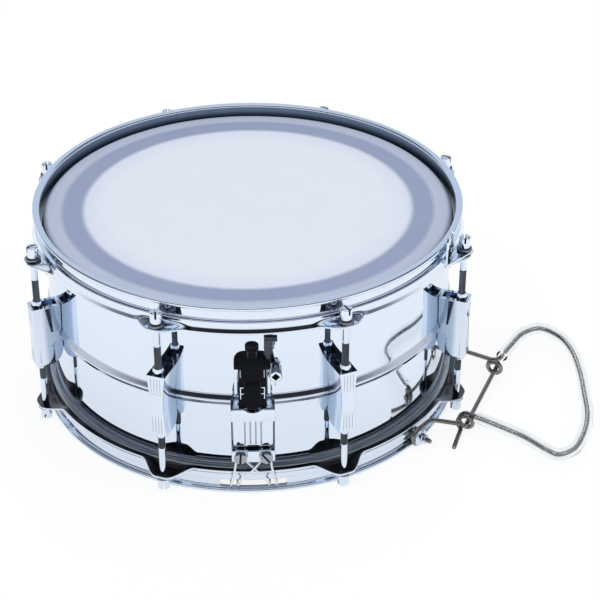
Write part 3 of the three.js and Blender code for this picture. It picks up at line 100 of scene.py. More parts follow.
# Camera
FRAME_WIDTH, FOCAL_PX, SENSOR = 600, 1782.73, 36
CAMERA_PLACE = (-0.006897, -1.370217, 0.748891)
CAMERA_ANGLES = (31.7655, -2.1885, 0.0686)      # elevation, azimuth and roll


def linked(name, data):
    """A new object in the scene."""
    o = bpy.data.objects.new(name, data)
    scene.collection.objects.link(o)
    return o


def place_camera():
    elevation, azimuth, roll = (radians(angle) for angle in CAMERA_ANGLES)
    back = Vector((sin(azimuth) * cos(elevation),
                   -cos(azimuth) * cos(elevation), sin(elevation)))
    right = Vector((cos(azimuth), sin(azimuth), 0))
    up = back.cross(right)
    across = right * cos(roll) + up * sin(roll)
    upward = up * cos(roll) - right * sin(roll)
    data = bpy.data.cameras.new("camera")
    data.sensor_width = SENSOR
    data.lens = SENSOR * FOCAL_PX / FRAME_WIDTH
    data.clip_start, data.clip_end = 0.05, 50
    camera = linked("camera", data)
    turn = Matrix((across, upward, back)).transposed().to_4x4()
    camera.matrix_world = Matrix.Translation(CAMERA_PLACE) @ turn
    scene.camera = camera


place_camera()
scene.view_settings.view_transform = "Standard"


# Shapes
def P(x, y, z):
    return Vector((x * MM, y * MM, (z - FACE_Z) * MM))


def corner_curve(start, corner, end, steps):
    """Points on the curve that rounds a corner off."""
    shares = [k / steps for k in range(steps + 1)]
    return [start * (1 - t) ** 2 + corner * 2 * t * (1 - t) + end * t * t for t in shares]


def rounded(points, reach, steps=4, closed=True):
    """A 2-D outline with its corners rounded; reach is one number or one for each corner."""
    out = []
    n = len(points)
    for i, p in enumerate(points):
        size = reach[i] if isinstance(reach, (list, tuple)) else reach
        if size <= 0 or (not closed and i in (0, n - 1)):
            out.append(tuple(p))
            continue
        p = Vector(p)
        a, b = Vector(points[i - 1]) - p, Vector(points[(i + 1) % n]) - p
        taken = min(size, a.length * 0.48, b.length * 0.48)
        start, end = p + a.normalized() * taken, p + b.normalized() * taken
        out += [tuple(q) for q in corner_curve(start, p, end, steps)]
    return out


def rectangle(x0, x1, y0, y1):
    return [(x0, y0), (x1, y0), (x1, y1), (x0, y1)]


def arc(radius, angles, x=0.0, y=0.0):
    return [(x + radius * cos(a), y + radius * sin(a)) for a in angles]


def skin(rows, n):
    """Faces round a closed run of rows of n points each."""
    faces = []
    for i in range(rows):
        j = (i + 1) % rows
        for k in range(n):
            m = (k + 1) % n
            faces.append([i * n + k, j * n + k, j * n + m, i * n + m])
    return faces


def open_skin(rows, n):
    """Faces along an open run of rows, the other way round."""
    return [[a, d, c, b] for a, b, c, d in skin(rows, n)[:(rows - 1) * n]]


def end_faces(rows, n):
    return [list(range(n))[::-1], [(rows - 1) * n + k for k in range(n)]]


def lathe(profile, steps, out=0.0, mat=0):
    """A profile of radius and height turned about an upright axis that far out."""
    verts = []
    for i in range(steps):
        a = 2 * pi * i / steps
        c, s = cos(a), sin(a)
        verts += [(r * c, r * s - out, z) for r, z in profile]
    faces = skin(steps, len(profile))
    return verts, faces, [mat] * len(faces)


def outward(profile, steps, x, z, mat=0):
    """A profile of radius and outward distance turned about an axis that points outward."""
    verts, faces, mats = lathe(profile, steps, 0, mat)
    return [(x + a, -h, z + b) for a, b, h in verts], faces, mats


def bar(radius, r0, r1, steps, x, z, mat=0):
    """A plain round bar that points outward."""
    return outward(rectangle(0, radius, r0, r1), steps, x, z, mat)


def prism(outline, a0, a1, plane, bevel, segments=2, mat=0):
    """An outline with thickness. Plane front: x and z, outward depth; side: outward and z,
    depth x; top: x and outward, depth z."""
    place = {
        "front": lambda u, v, d: (u, -d, v),
        "side": lambda u, v, d: (d, -u, v),
        "top": lambda u, v, d: (u, -v, d),
    }[plane]
    bm = bmesh.new()
    lower = [bm.verts.new(place(u, v, a0)) for u, v in outline]
    upper = [bm.verts.new(place(u, v, a1)) for u, v in outline]
    bm.faces.new(lower)
    bm.faces.new(list(reversed(upper)))
    n = len(outline)
    for i in range(n):
        j = (i + 1) % n
        bm.faces.new([lower[j], lower[i], upper[i], upper[j]])
    bmesh.ops.recalc_face_normals(bm, faces=bm.faces)
    if bevel:
        edges = [e for e in bm.edges if e.calc_face_angle(0) > radians(28)]
        bmesh.ops.bevel(bm, geom=edges, offset=bevel, offset_type="OFFSET", segments=segments,
                        profile=0.5, affect="EDGES", clamp_overlap=True)
    bm.verts.index_update()
    part = ([tuple(v.co) for v in bm.verts], [[v.index for v in f.verts] for f in bm.faces],
            [mat] * len(bm.faces))
    bm.free()
    return part


def block(x0, x1, r0, r1, z0, z1, bevel, mat=0, segments=2):
    return prism(rectangle(x0, x1, z0, z1), r0, r1, "front", bevel, segments, mat)


def frames(points):
    """Points with a pair of sideways directions each, turned as little as can be."""
    pts = [Vector(p) for p in points]
    tangents = []
    for i in range(len(pts)):
        a, b = pts[max(i - 1, 0)], pts[min(i + 1, len(pts) - 1)]
        tangents.append((b - a).normalized())
    u = tangents[0].orthogonal().normalized()
    out = []
    for p, t in zip(pts, tangents):
        u = (u - t * u.dot(t)).normalized()
        out.append((p, u, t.cross(u)))
    return out


def tube(points, radius, sides, shape=None, ends=True):
    """A tube along points. radius is a number or a list; shape(i, a) scales it round."""
    verts, rows = [], frames(points)
    for i, (p, u, w) in enumerate(rows):
        r = radius[i] if isinstance(radius, (list, tuple)) else radius
        for k in range(sides):
            a = 2 * pi * k / sides
            q = r * (shape(i, a) if shape else 1)
            verts.append(tuple(p + u * (q * cos(a)) + w * (q * sin(a))))
    faces = open_skin(len(rows), sides) + (end_faces(len(rows), sides) if ends else [])
    return verts, faces, [0] * len(faces)


def capped(points, radius, rim=0.5):
    """A round bar along points with rounded ends."""
    pts = [Vector(p) for p in points]
    a, b = (pts[1] - pts[0]).normalized(), (pts[-2] - pts[-1]).normalized()
    pts = [pts[0], pts[0] + a * rim * 0.3, pts[0] + a * rim] + pts[1:-1] + \
        [pts[-1] + b * rim, pts[-1] + b * rim * 0.3, pts[-1]]
    cap = [radius - rim, radius - rim * 0.3]
    return tube(pts, cap + [radius] * (len(pts) - 4) + cap[::-1], 16)


def moved(part, matrix):
    return [tuple(matrix @ Vector(v)) for v in part[0]], part[1], part[2]


def spin(degrees, axis="Z"):
    return Matrix.Rotation(radians(degrees), 4, axis)


def turned_about(centre, degrees, axis):
    place = Matrix.Translation(centre)
    return place @ spin(degrees, axis) @ place.inverted()


def mirrored_z(part):
    """The same part at the drum's other end, turned half round about the front's Y axis."""
    return moved(part, Matrix.Translation((0, 0, HEIGHT)) @ spin(180, "Y"))


def mesh_of(name, parts, mats, smooth=32, weld=True, flip=True):
    verts, faces, indices = [], [], []
    for v, f, m in parts:
        base = len(verts)
        verts += v
        faces += [[i + base for i in face] for face in f]
        indices += m
    mesh = bpy.data.meshes.new(name)
    mesh.from_pydata([tuple(P(*v)) for v in verts], [], faces)
    for m in mats:
        mesh.materials.append(m)
    mesh.polygons.foreach_set("material_index", indices)
    bm = bmesh.new()
    bm.from_mesh(mesh)
    if weld:
        bmesh.ops.remove_doubles(bm, verts=bm.verts, dist=2e-6)
    if flip:
        bmesh.ops.recalc_face_normals(bm, faces=bm.faces)
    bm.to_mesh(mesh)
    bm.free()
    mesh.shade_smooth()
    mesh.set_sharp_from_angle(angle=radians(smooth))
    return mesh


def recolored(mesh, index, test):
    """The mesh with another material on the faces that pass the test."""
    for face in mesh.polygons:
        if test(face):
            face.material_index = index
    return mesh


def cut(part, cutters, mats, operation="DIFFERENCE"):
    """The part with the cutters taken from it or joined to it."""
    work = linked("work", mesh_of("work", [part], mats))
    tool = linked("tool", mesh_of("tool", cutters, mats))
    tool.hide_render = True
    m = work.modifiers.new("cut", "BOOLEAN")
    m.operation, m.object, m.solver = operation, tool, "EXACT"
    m.use_self = True
    graph = bpy.context.evaluated_depsgraph_get()
    result = bpy.data.meshes.new_from_object(work.evaluated_get(graph))
    verts = [(v.co.x / MM, v.co.y / MM, v.co.z / MM + FACE_Z) for v in result.vertices]
    made = (verts, [list(p.vertices) for p in result.polygons],
            [p.material_index for p in result.polygons])
    for o in (work, tool):
        bpy.data.objects.remove(o)
    bpy.data.meshes.remove(result)
    return made


def put(name, mesh, body, node, degrees=0.0, lift=0.0):
    """A piece that rides on its body and stands for its CAD node."""
    mesh = mesh.copy()
    mesh.name = name
    mesh.transform(spin(degrees) @ Matrix.Translation((0, 0, lift * MM)))
    o = linked(name, mesh)
    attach(o, body)
    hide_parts(node)
    return o


def piece(name, body, node, slot, parts, mats, smooth, degrees=0.0, **how):
    """A piece made of parts, in its place."""
    return put(name, mesh_of(name, parts, mats, smooth, **how), body, node, degrees)


# Materials
class Graph:
    """A node tree, with short calls for the nodes that recur."""

    def __init__(self, tree):
        self.nodes, self.links = tree.nodes, tree.links

    def feed(self, socket, value):
        """Set a socket to a number or a colour, or link it to an output."""
        if isinstance(value, (int, float)):
            socket.default_value = value
        elif isinstance(value, tuple):
            socket.default_value = (*value, 1)
        else:
            self.links.new(value, socket)

    def add(self, kind, **inputs):
        node = self.nodes.new("ShaderNode" + kind)
        for key, value in inputs.items():
            self.feed(node.inputs[key.replace("_", " ")], value)
        return node

    def math(self, operation, *values):
        node = self.add("Math")
        node.operation = operation
        for socket, value in zip(node.inputs, values):
            self.feed(socket, value)
        return node.outputs[0]

    def largest(self, values):
        total = values[0]
        for other in values[1:]:
            total = self.math("MAXIMUM", total, other)
        return total

    def mix(self, share, a, b, blend="MIX"):
        node = self.add("Mix")
        node.data_type, node.blend_type = "RGBA", blend
        for index, value in ((0, share), (6, a), (7, b)):
            self.feed(node.inputs[index], value)
        return node.outputs[2]

    def shader_mix(self, *values):
        node = self.add("MixShader")
        for socket, value in zip(node.inputs, values):
            self.links.new(value, socket)
        return node.outputs[0]

    def background(self, color, strength=1.0):
        return self.add("Background", Color=color, Strength=strength).outputs[0]

    def split(self, vector):
        return self.add("SeparateXYZ", Vector=vector).outputs

    def ramp(self, value, stops):
        node = self.add("ValToRGB", Fac=value)
        elements = node.color_ramp.elements
        while len(elements) < len(stops):
            elements.new(0.5)
        for element, (position, color) in zip(elements, stops):
            element.position = position
            element.color = (*color, 1)
        return node.outputs["Color"]


def empty_graph(owner):
    owner.use_nodes = True
    owner.node_tree.nodes.clear()
    return Graph(owner.node_tree)


RAMP_REACH = 0.2


class Finish(Graph):
    """A principled material with its texture nodes hung on object coordinates."""

    def __init__(self, name, color, metallic=0.0, roughness=0.4, **fixed):
        self.material = bpy.data.materials.new(name)
        self.material.use_nodes = True
        super().__init__(self.material.node_tree)
        self.shader = self.nodes["Principled BSDF"]
        fixed = {"Base Color": color, "Metallic": metallic, "Roughness": roughness, **fixed}
        for key, value in fixed.items():
            self.feed(self.shader.inputs[key.replace("_", " ")], value)
        self.where = self.add("TexCoord").outputs["Object"]

    def stretched(self, scale):
        mapping = self.add("Mapping", Vector=self.where)
        mapping.inputs["Scale"].default_value = scale
        return mapping.outputs["Vector"]

    def noise(self, scale, detail=4.0, rough=0.55, stretch=None):
        where = self.stretched(stretch) if stretch else self.where
        node = self.add("TexNoise", Scale=scale, Detail=detail, Roughness=rough, Vector=where)
        return node.outputs["Fac"]

    def span(self, value, low, high):
        return self.add("MapRange", Value=value, From_Min=0.3, From_Max=0.7, To_Min=low,
                        To_Max=high).outputs["Result"]

    def radius(self):
        """Distance from the drum's axis as a share of RAMP_REACH metres."""
        place = self.split(self.where)
        squares = [self.math("MULTIPLY", place[i], place[i]) for i in (0, 1)]
        distance = self.math("SQRT", self.math("ADD", *squares))
        return self.math("MULTIPLY", distance, 1 / RAMP_REACH)

    def wire(self, socket, value):
        self.links.new(value, self.shader.inputs[socket])

    def tint(self, value, stops):
        self.wire("Base Color", self.ramp(value, stops))

    def polish(self, value, low, high):
        self.wire("Roughness", self.span(value, low, high))

    def bump(self, height, strength, distance):
        node = self.add("Bump", Strength=strength, Distance=distance, Height=height)
        self.wire("Normal", node.outputs["Normal"])


def metal_finish(name, color, low, high, grain=70.0, stretch=None, wear=0.93, bump=0.04):
    """A metal whose tint and polish vary a little, with fine hairlines."""
    f = Finish(name, color, metallic=1.0)
    cloud = f.noise(grain, 5, 0.6, stretch)
    hair = f.noise(900, 2, 0.5, (1, 1, 0.06))
    polish = f.math("ADD", f.span(cloud, low, high), f.span(hair, 0.0, (high - low) * 0.5))
    f.wire("Roughness", polish)
    dull = tuple(c * wear for c in color)
    f.tint(cloud, [(0.3, dull), (0.65, color)])
    f.bump(hair, bump, 0.00002)
    return f.material


def side_shade_finish():
    """Chrome painted darker towards the shell, as shade and dark reflection on the lug's sides."""
    f = Finish("lug_side_painted_shade", (0.6, 0.7, 0.85), metallic=1.0)
    f.polish(f.noise(30), 0.03, 0.07)
    f.tint(f.radius(), [(0.89, (0.3, 0.39, 0.52)), (0.955, (0.42, 0.52, 0.66)),
                        (0.975, (0.74, 0.82, 0.94))])
    return f.material


def black_finish():
    f = Finish("black_parts", (0.004, 0.0045, 0.006), roughness=0.34, Specular_IOR_Level=0.06)
    fine = f.noise(1800, 3, 0.6)
    f.polish(f.noise(120), 0.3, 0.44)
    f.tint(fine, [(0.35, (0.003, 0.0035, 0.005)), (0.75, (0.009, 0.01, 0.014))])
    f.bump(fine, 0.12, 0.00004)
    return f.material


# Near black for slots and sockets: painted shade in these hollows.
def hollow_shade_finish():
    f = Finish("recess_painted_shade", (0.006, 0.007, 0.009), roughness=0.6)
    f.tint(f.noise(400), [(0.3, (0.003, 0.003, 0.004)), (0.7, (0.012, 0.013, 0.016))])
    return f.material


def film_finish(name, radial):
    """Satin film; over the batter head's damping ring it shows the ring's blue-grey."""
    f = Finish(name, (0.7, 0.74, 0.84), roughness=0.42, Coat_Weight=0.08, Coat_Roughness=0.3)
    mottle = f.noise(26, 4, 0.6)
    grain = f.noise(2600, 3, 0.6)
    middle, edge, ring = (0.724, 0.768, 0.846), (0.446, 0.503, 0.639), (0.268, 0.322, 0.475)
    if radial:
        stops = [(0.0, middle), (0.60, middle), (0.705, (0.66, 0.705, 0.825)), (0.728, ring),
                 (0.80, ring), (0.822, edge), (0.88, edge)]
        colour = f.ramp(f.radius(), stops)
    else:
        colour = f.ramp(mottle, [(0.2, middle), (0.9, (0.66, 0.7, 0.81))])
    veiled = f.mix(1.0, colour, (0.93, 0.94, 0.96), "MULTIPLY")
    f.wire("Base Color", f.mix(f.span(mottle, 0.0, 0.3), colour, veiled))
    f.polish(mottle, 0.36, 0.5)
    f.bump(grain, 0.1, 0.00003)
    return f.material


def plain_finish(name, dark, light, roughness, grain, bump=0.15):
    f = Finish(name, light, roughness=roughness)
    speck = f.noise(grain, 4, 0.6)
    f.tint(speck, [(0.3, dark), (0.7, light)])
    f.polish(speck, roughness * 0.8, roughness * 1.15)
    f.bump(speck, bump, 0.00005)
    return f.material


def vinyl_finish():
    f = Finish("clear_vinyl", (0.9, 0.94, 0.98), roughness=0.03, IOR=1.16, Transmission_Weight=1.0)
    cloud = f.noise(140, 4, 0.6)
    f.tint(cloud, [(0.3, (0.8, 0.84, 0.88)), (0.7, (0.9, 0.93, 0.95))])
    f.polish(cloud, 0.015, 0.06)
    f.bump(f.noise(60), 0.05, 0.0003)
    return f.material


CHROME = metal_finish("chrome", (0.77, 0.85, 0.96), 0.02, 0.04, grain=30.0, wear=0.985, bump=0.02)
# Dark chrome with painted shade and dark reflection: the snare hoop's inner wall, the clamp tail
# and the plate's side walls.
DARK_SHADE_CHROME = metal_finish("dark_painted_shade", (0.13, 0.15, 0.19), 0.1, 0.2, wear=0.8)
# The batter hoop's inner wall, painted darker for a dark reflection.
RIM_SHADE_CHROME = metal_finish("rim_inside_painted_shade", (0.24, 0.31, 0.38), 0.08, 0.16, wear=0.9)
# Grey chrome on the bead's upper slope, a painted darker reflection.
BEAD_PAINTED_SHADE = metal_finish("bead_painted_shade", (0.5, 0.55, 0.64), 0.03, 0.07, wear=0.95, bump=0.02)
# The lug's bore, slot and bead groove: rougher chrome, painted darker as shade in these hollows.
POCKET_SHADE = metal_finish("lug_pocket_painted_shade", (0.5, 0.6, 0.76), 0.08, 0.16, wear=0.8)
# The snare hoop's upward faces, painted near black as a dark reflection.
FLANGE_SHADE = metal_finish("flange_painted_shade", (0.12, 0.12, 0.13), 0.08, 0.2, wear=0.7)
# The lug's side faces, with shade painted darker towards the shell.
LUG_SIDE_SHADE = side_shade_finish()
# Grey chrome painted into the lug and plate flutes and dots as shade; the housing's upper pins take
# it too.
FLUTE_SHADE = metal_finish("flute_painted_shade", (0.46, 0.5, 0.57), 0.25, 0.4, wear=0.85)
ALUMINIUM = metal_finish("aluminium", (0.55, 0.57, 0.6), 0.28, 0.4, stretch=(1, 1, 0.2))
THREAD = metal_finish("thread_steel", (0.32, 0.35, 0.38), 0.25, 0.4, wear=0.7)
WIRE = metal_finish("steel_wire", (0.31, 0.29, 0.28), 0.16, 0.3, grain=300, wear=0.7, bump=0.1)
SNARE_STEEL = metal_finish("snare_steel", (0.45, 0.46, 0.48), 0.2, 0.34, grain=400)
WASHER_STEEL = metal_finish("washer_steel", (0.27, 0.28, 0.31), 0.24, 0.38, grain=350, wear=0.8)
ARM_STEEL = metal_finish("arm_steel", (0.07, 0.08, 0.1), 0.1, 0.2, grain=200, wear=0.8)
# Darker steel on the lever's hub and pin, painting shade and dark reflection on the hub's sides.
LEVER_SHADE = metal_finish("lever_painted_shade", (0.3, 0.33, 0.38), 0.08, 0.16, grain=200, wear=0.85)
HEAD_STEEL = metal_finish("screw_steel", (0.42, 0.46, 0.53), 0.12, 0.24, grain=350, wear=0.75)
BLACK = black_finish()
HOLLOW_SHADE = hollow_shade_finish()
HEAD = film_finish("head_film", True)
SNARE_HEAD = film_finish("snare_head_film", False)
DAMPING = plain_finish("damping_film", (0.28, 0.33, 0.47), (0.34, 0.4, 0.56), 0.5, 900)
CORD = plain_finish("cord", (0.84, 0.86, 0.9), (0.92, 0.94, 0.97), 0.7, 2500, 0.3)
WASHER = plain_finish("washer_grey", (0.22, 0.24, 0.26), (0.3, 0.33, 0.36), 0.5, 700)
VINYL = vinyl_finish()


# Cords
def smooth_path(knots, per=6):
    """Points on a centripetal curve through the knots."""
    pts = [Vector(k) for k in knots]
    pts = [pts[0] * 2 - pts[1]] + pts + [pts[-1] * 2 - pts[-2]]
    out = []
    for i in range(1, len(pts) - 2):
        p0, p1, p2, p3 = pts[i - 1:i + 3]
        d0, d1, d2 = (max((b - a).length, 1e-6) ** 0.5 for a, b in ((p0, p1), (p1, p2), (p2, p3)))
        t1 = ((p1 - p0) / d0 - (p2 - p0) / (d0 + d1) + (p2 - p1) / d1) * d1
        t2 = ((p2 - p1) / d1 - (p3 - p1) / (d1 + d2) + (p3 - p2) / d2) * d1
        for k in range(per):
            t = k / per
            out.append(p1 + t1 * t + (p1 * -3 + p2 * 3 - t1 * 2 - t2) * t * t
                       + (p1 * 2 - p2 * 2 + t1 + t2) * t ** 3)
    return out + [pts[-2]]


def resampled(points, step):
    """Points an even distance apart along a run."""
    out, left = [points[0].copy()], step
    for a, b in zip(points, points[1:]):
        length, done = (b - a).length, 0.0
        while length - done >= left:
            done += left
            out.append(a.lerp(b, done / length))
            left = step
        left -= length - done
    if (out[-1] - points[-1]).length > step * 0.3:
        out.append(points[-1].copy())
    return out


CORD_R = 0.95
CORD_STEP = 0.45
CORD_LAY = 3.6                    # length of one turn of the cord's three strands
CORD_CLAMPED = 193.25             # distance out of the cord in its clamp
CORD_CROSSING = 1.3               # distance by which one cord passes in front of the other


def cord_route(side):
    route = [
        (14.2, CORD_CLAMPED, 50.5), (14.2, CORD_CLAMPED, 40.5), (15.2, 192.2, 30),
        (17.6, 190.4, 17), (18.8, 188.2, 10.4), (19, 184.6, 7.5), (19, 179, 7.2), (19, 157, 7.2),
        (18.9, 152.8, 6.2), (18, 151.6, 4.8), (14.6, 151.6, 4.8), (13.7, 152.8, 6.2),
        (13.6, 157, 7.2), (13.6, 179, 7.2), (13.4, 184.6, 7.5), (12.6, 188.2, 10.4),
        (10, 190.9, 17), (0.4, 192.4 - side * CORD_CROSSING, 29),
        (-7, CORD_CLAMPED, 40.5), (-7, CORD_CLAMPED, 50.5),
    ]
    return [Vector((side * x, -r, z)) for x, r, z in route]


def make_cord(name, side, end_degrees, moving):
    points = resampled(smooth_path(cord_route(side)), CORD_STEP)
    twist = 2 * pi * CORD_STEP / CORD_LAY
    strand = tube(points, CORD_R, 12, lambda i, a: 0.93 + 0.07 * cos(3 * (a + i * twist)))
    turn = spin(end_degrees)
    mesh = mesh_of(name, [strand], [CORD], smooth=60, weld=False)
    mesh.transform(turn)
    o = linked(name, mesh)
    if moving:
        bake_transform(o)
    else:
        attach(o, "drum")
    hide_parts(name.replace("snare_", ""))


for end, degrees, moving in (("front", 0, True), ("rear", 180, False)):
    for word, side in SIDES:
        make_cord(f"snare_{end}_cord_{word}", side, degrees, moving)


# Shell and heads
def bead_profile(radius):
    """The bead's slopes and narrow crown on a wall of the given radius, upwards."""
    crown = radius + BEAD_RISE
    corners = [(radius, BEAD_Z - BEAD_REACH), (radius, BEAD_Z - BEAD_HALF),
               (crown, BEAD_Z - BEAD_FLAT), (crown, BEAD_Z + BEAD_FLAT),
               (radius, BEAD_Z + BEAD_HALF), (radius, BEAD_Z + BEAD_REACH)]
    return rounded(corners, [0, 1.1, 0.7, 0.7, 1.1, 0], 5, closed=False)


def on_bead_slope(face):
    """Whether a face of the shell is on the outside of the bead's upper slope, where a darker
    reflection is painted.
    """
    outside = hypot(face.center.x, face.center.y) > (SHELL_R - 0.3) * MM
    return outside and 0.4 < face.center.z / MM + FACE_Z - BEAD_Z < BEAD_HALF + 0.6


def shell():
    lower = rounded([(173.6, 9.4), (175, 9.4), (SHELL_R, 12.2), (SHELL_R, 40)],
                    [0, 0.5, 1.2, 0], 5, closed=False)
    upper = rounded([(SHELL_R, 140), (SHELL_R, 169.8), (175, 172.6), (173.6, 172.6)],
                    [0, 1.2, 0.5, 0], 5, closed=False)
    profile = lower + bead_profile(SHELL_R) + upper
    inner = [(176.6, 169.3)] + bead_profile(SHELL_R - 1.2)[::-1] + [(176.6, 12.7)]
    mesh = mesh_of("drum_shell", [lathe(profile + inner, 360)], [CHROME, BEAD_PAINTED_SHADE], 40)
    # The bead's upper slope takes grey chrome, a painted darker reflection.
    put("drum_shell", recolored(mesh, 1, on_bead_slope), "drum", "shell")


def film(name, node, face, down, material):
    """A head: flat film, a rolled shoulder over the bearing edge and a collar."""
    top = [(175.33, 0), (178.6, 3.27), (178.6, 13.4), (178.1, 13.4), (178.1, 3.48), (175.12, 0.5)]
    turned = rounded([(0, 0)] + top + [(0, 0.5)], [0, 2.2, 2.4, 0, 0, 2.2, 2, 0], 5, closed=False)
    profile = [(170 * k / 12, 0) for k in range(12)] + turned[1:]
    turned = lathe([(r, face + down * d) for r, d in profile], 300)
    piece(name, "drum", node, "head_film", [turned], [material], 60)


def ring(name, node, radii, heights, material, slot, edge):
    profile = rounded(rectangle(*radii, *heights), edge, 3)
    piece(name, "drum", node, slot, [lathe(profile, 300)], [material], 40)


shell()
film("head_batter", "batter_film", FACE_Z, -1, HEAD)
film("head_snare", "snare_film", HEIGHT - FACE_Z, 1, SNARE_HEAD)
ring("damping_ring", "batter_damping_ring", (143, 165), (172.1, 172.6), DAMPING,
     "damping_film", 0.1)
for end, heights in (("batter", (158.8, 165.8)), ("snare", (16.2, 23.2))):
    ring(f"flesh_ring_{end}", f"{end}_flesh_hoop", (178.9, 183.2), heights, ALUMINIUM,
         "aluminium", 0.9)


# Hoops
def smoothstep(x, low, high):
    t = min(max((x - low) / (high - low), 0), 1)
    return t * t * (3 - 2 * t)


def hoop_section(bump):
    """Radius and depth below the rim; bump is 0 on the plain skirt and 1 on an ear."""
    lift = bump ** 0.6
    tip = SKIRT_R + (EAR_R - SKIRT_R) * bump
    depth = SKIRT_DEPTH + (EAR_DEPTH - SKIRT_DEPTH) * lift
    bend, droop = 2.9 * (1 - lift), 1.1 * (1 - lift)
    points = [(BAND_IN, depth + STEEL), (tip, depth + STEEL), (tip, depth + droop),
              (BAND_OUT, depth - bend), (BAND_OUT, STEP_DEPTH), (WALL_OUT, STEP_DEPTH),
              (WALL_OUT, RIM_DEPTH), (RIM_OUT, RIM_DEPTH), (RIM_OUT, 0), (WALL_IN, 0),
              (WALL_IN, STEP_DEPTH + STEEL), (BAND_IN, STEP_DEPTH + STEEL)]
    reach = [0.5, 0.5 + 0.4 * lift, 0.9, 1.6 + 1.2 * lift, 1.0, 1.1, 1.3, 1.7, 3.2, 2.4, 0.8, 0.5]
    return rounded(points, reach, 5)


def hoop():
    """The batter hoop, with its inner wall in the second material, a darker chrome that paints in a
    dark reflection.
    """
    rows, verts, fine = [], [], 56
    for ear in range(LUGS):
        for k in range(fine):
            share = -1 + 2 * k / fine
            offset = FIRST_LUG * copysign(abs(share) ** 1.35, share)
            bump = 1 - smoothstep(abs(offset), 1.2, 7.2)
            rows.append((FIRST_LUG + LUG_PITCH * ear + offset, hoop_section(bump)))
    first = rows[0][1]
    for degrees, section in rows:
        a = radians(degrees)
        verts += [(r * sin(a), -r * cos(a), HEIGHT - d) for r, d in section]
    # The inner wall's faces, for the darker chrome that paints a dark reflection.
    inside = [1 if r < WALL_IN + 0.01 and d > 1.0 else 0 for r, d in first]
    return verts, skin(len(rows), len(first)), inside * len(rows)


def place_hoops():
    whole = hoop()
    piece("hoop_batter", "drum", "batter_hoop", "chrome", [whole], [CHROME, RIM_SHADE_CHROME], 36)
    materials = [CHROME, DARK_SHADE_CHROME, FLANGE_SHADE]
    gates = [block(-28, 28, r0, r1, 4, 11, 2.0) for r0, r1 in ((176, 184.5), (-184.5, -176))]
    mesh = mesh_of("hoop_snare", [cut(mirrored_z(whole), gates, materials)], materials, 36)
    # Upward faces of the snare hoop's flange and ears are painted near black, a dark reflection.
    mesh = recolored(mesh, 2, lambda f: f.normal.z > 0.8 and f.center.z / MM + FACE_Z > 10)
    put("hoop_snare", mesh, "drum", "snare_hoop")


place_hoops()


# Rods
def thread(radius, z0, z1, pitch=0.8, depth=0.38):
    count = int((z1 - z0) / pitch)
    step = (z1 - z0) / count
    points = []
    for i in range(count):
        z = z0 + i * step
        points += [(radius, z + step * 0.15), (radius - depth, z + step * 0.65)]
    return points


ROD_MATERIALS = [CHROME, THREAD, HOLLOW_SHADE, WASHER_STEEL]
ROD_END = 109.75
THREAD_TOPS = (("batter", 145.0), ("snare", 136.0))
SLOT_TURNS = (98, 20, 40, -15, 65, 22, 99, 112)
HOOK_ROD, HOOK_LIFT = ("batter", 1), 2.1        # the rod that also holds the hook plate


def rod(thread_top):
    """A slotted tension rod with its washer, under the upper hoop's ear at the front."""
    seat = HEIGHT - EAR_DEPTH + FIT
    under = seat + ROD_WASHER
    top = under + ROD_HEAD
    edge = top - HEAD_DOME
    core = [(2.9, thread_top + 0.4), (ROD_R, thread_top + 0.8), (ROD_R, seat),
            (ROD_R, seat + 2.2), (0.0, seat + 2.2), (0.0, thread_top + 0.4)]
    shank = [(0.0, ROD_END), (2.2, ROD_END)] + thread(ROD_R, 110.2, thread_top)
    dome = [(ROD_HEAD_R * cos(a), edge + HEAD_DOME * sin(a))
            for a in (pi * k / 16 for k in range(1, 9))]
    head = [(ROD_R, under), (ROD_HEAD_R, under), (ROD_HEAD_R, edge)]
    head = rounded(head, [0, 0.35, 0], 4, False)
    washer = rounded(rectangle(3.05, 6.6, seat, under), 0.6, 3)
    # The slot is cut in near black, painted shade.
    slot = block(-6, 6, ROD_CIRCLE - 0.8, ROD_CIRCLE + 0.8, top - 5.2, top + 1, 0, 2)
    slotted = cut(lathe(head + dome + [(0.0, under)], 40, ROD_CIRCLE), [slot], ROD_MATERIALS)
    return slotted, [lathe(core, 28, ROD_CIRCLE),
                     lathe(shank + [(0.0, thread_top + 0.4)], 24, ROD_CIRCLE, 1),
                     lathe(washer, 40, ROD_CIRCLE, 3)]


def place_rods():
    for side, thread_top in THREAD_TOPS:
        slotted, rest = rod(thread_top)
        for i in range(LUGS):
            turn = SLOT_TURNS[i] if side == "batter" else 35 * i % 180
            parts = [moved(slotted, turned_about((0, -ROD_CIRCLE, 0), turn, "Z"))] + rest
            if side == "snare":
                parts = [mirrored_z(p) for p in parts]
            name = f"rod_{side}_{i + 1}"
            lift = HOOK_LIFT if (side, i) == HOOK_ROD else 0
            put("tension_" + name, mesh_of(name, parts, ROD_MATERIALS, 30), name,
                f"tension_{name}", FIRST_LUG + LUG_PITCH * i, lift)


place_rods()


# Lugs
def lug_width(z):
    """Half the lug's width, waisted in the middle."""
    t = (z - MID_Z) / (2 * LUG_HALF) + 0.5
    return 8.25 * ((1 - t) ** 2 + t * t) + 2 * t * (1 - t) * 3.75


def lug_rows():
    """Heights with the back's distance out, from the middle to the end that is scooped out."""
    scoop = [Vector(p) for p in ((15.5, LUG_BACK), (27.15, 179.7), (LUG_HALF, 190.7))]
    return [(k * 15.5 / 12, LUG_BACK) for k in range(12)] + \
        [tuple(p) for p in corner_curve(*scoop, 14)]


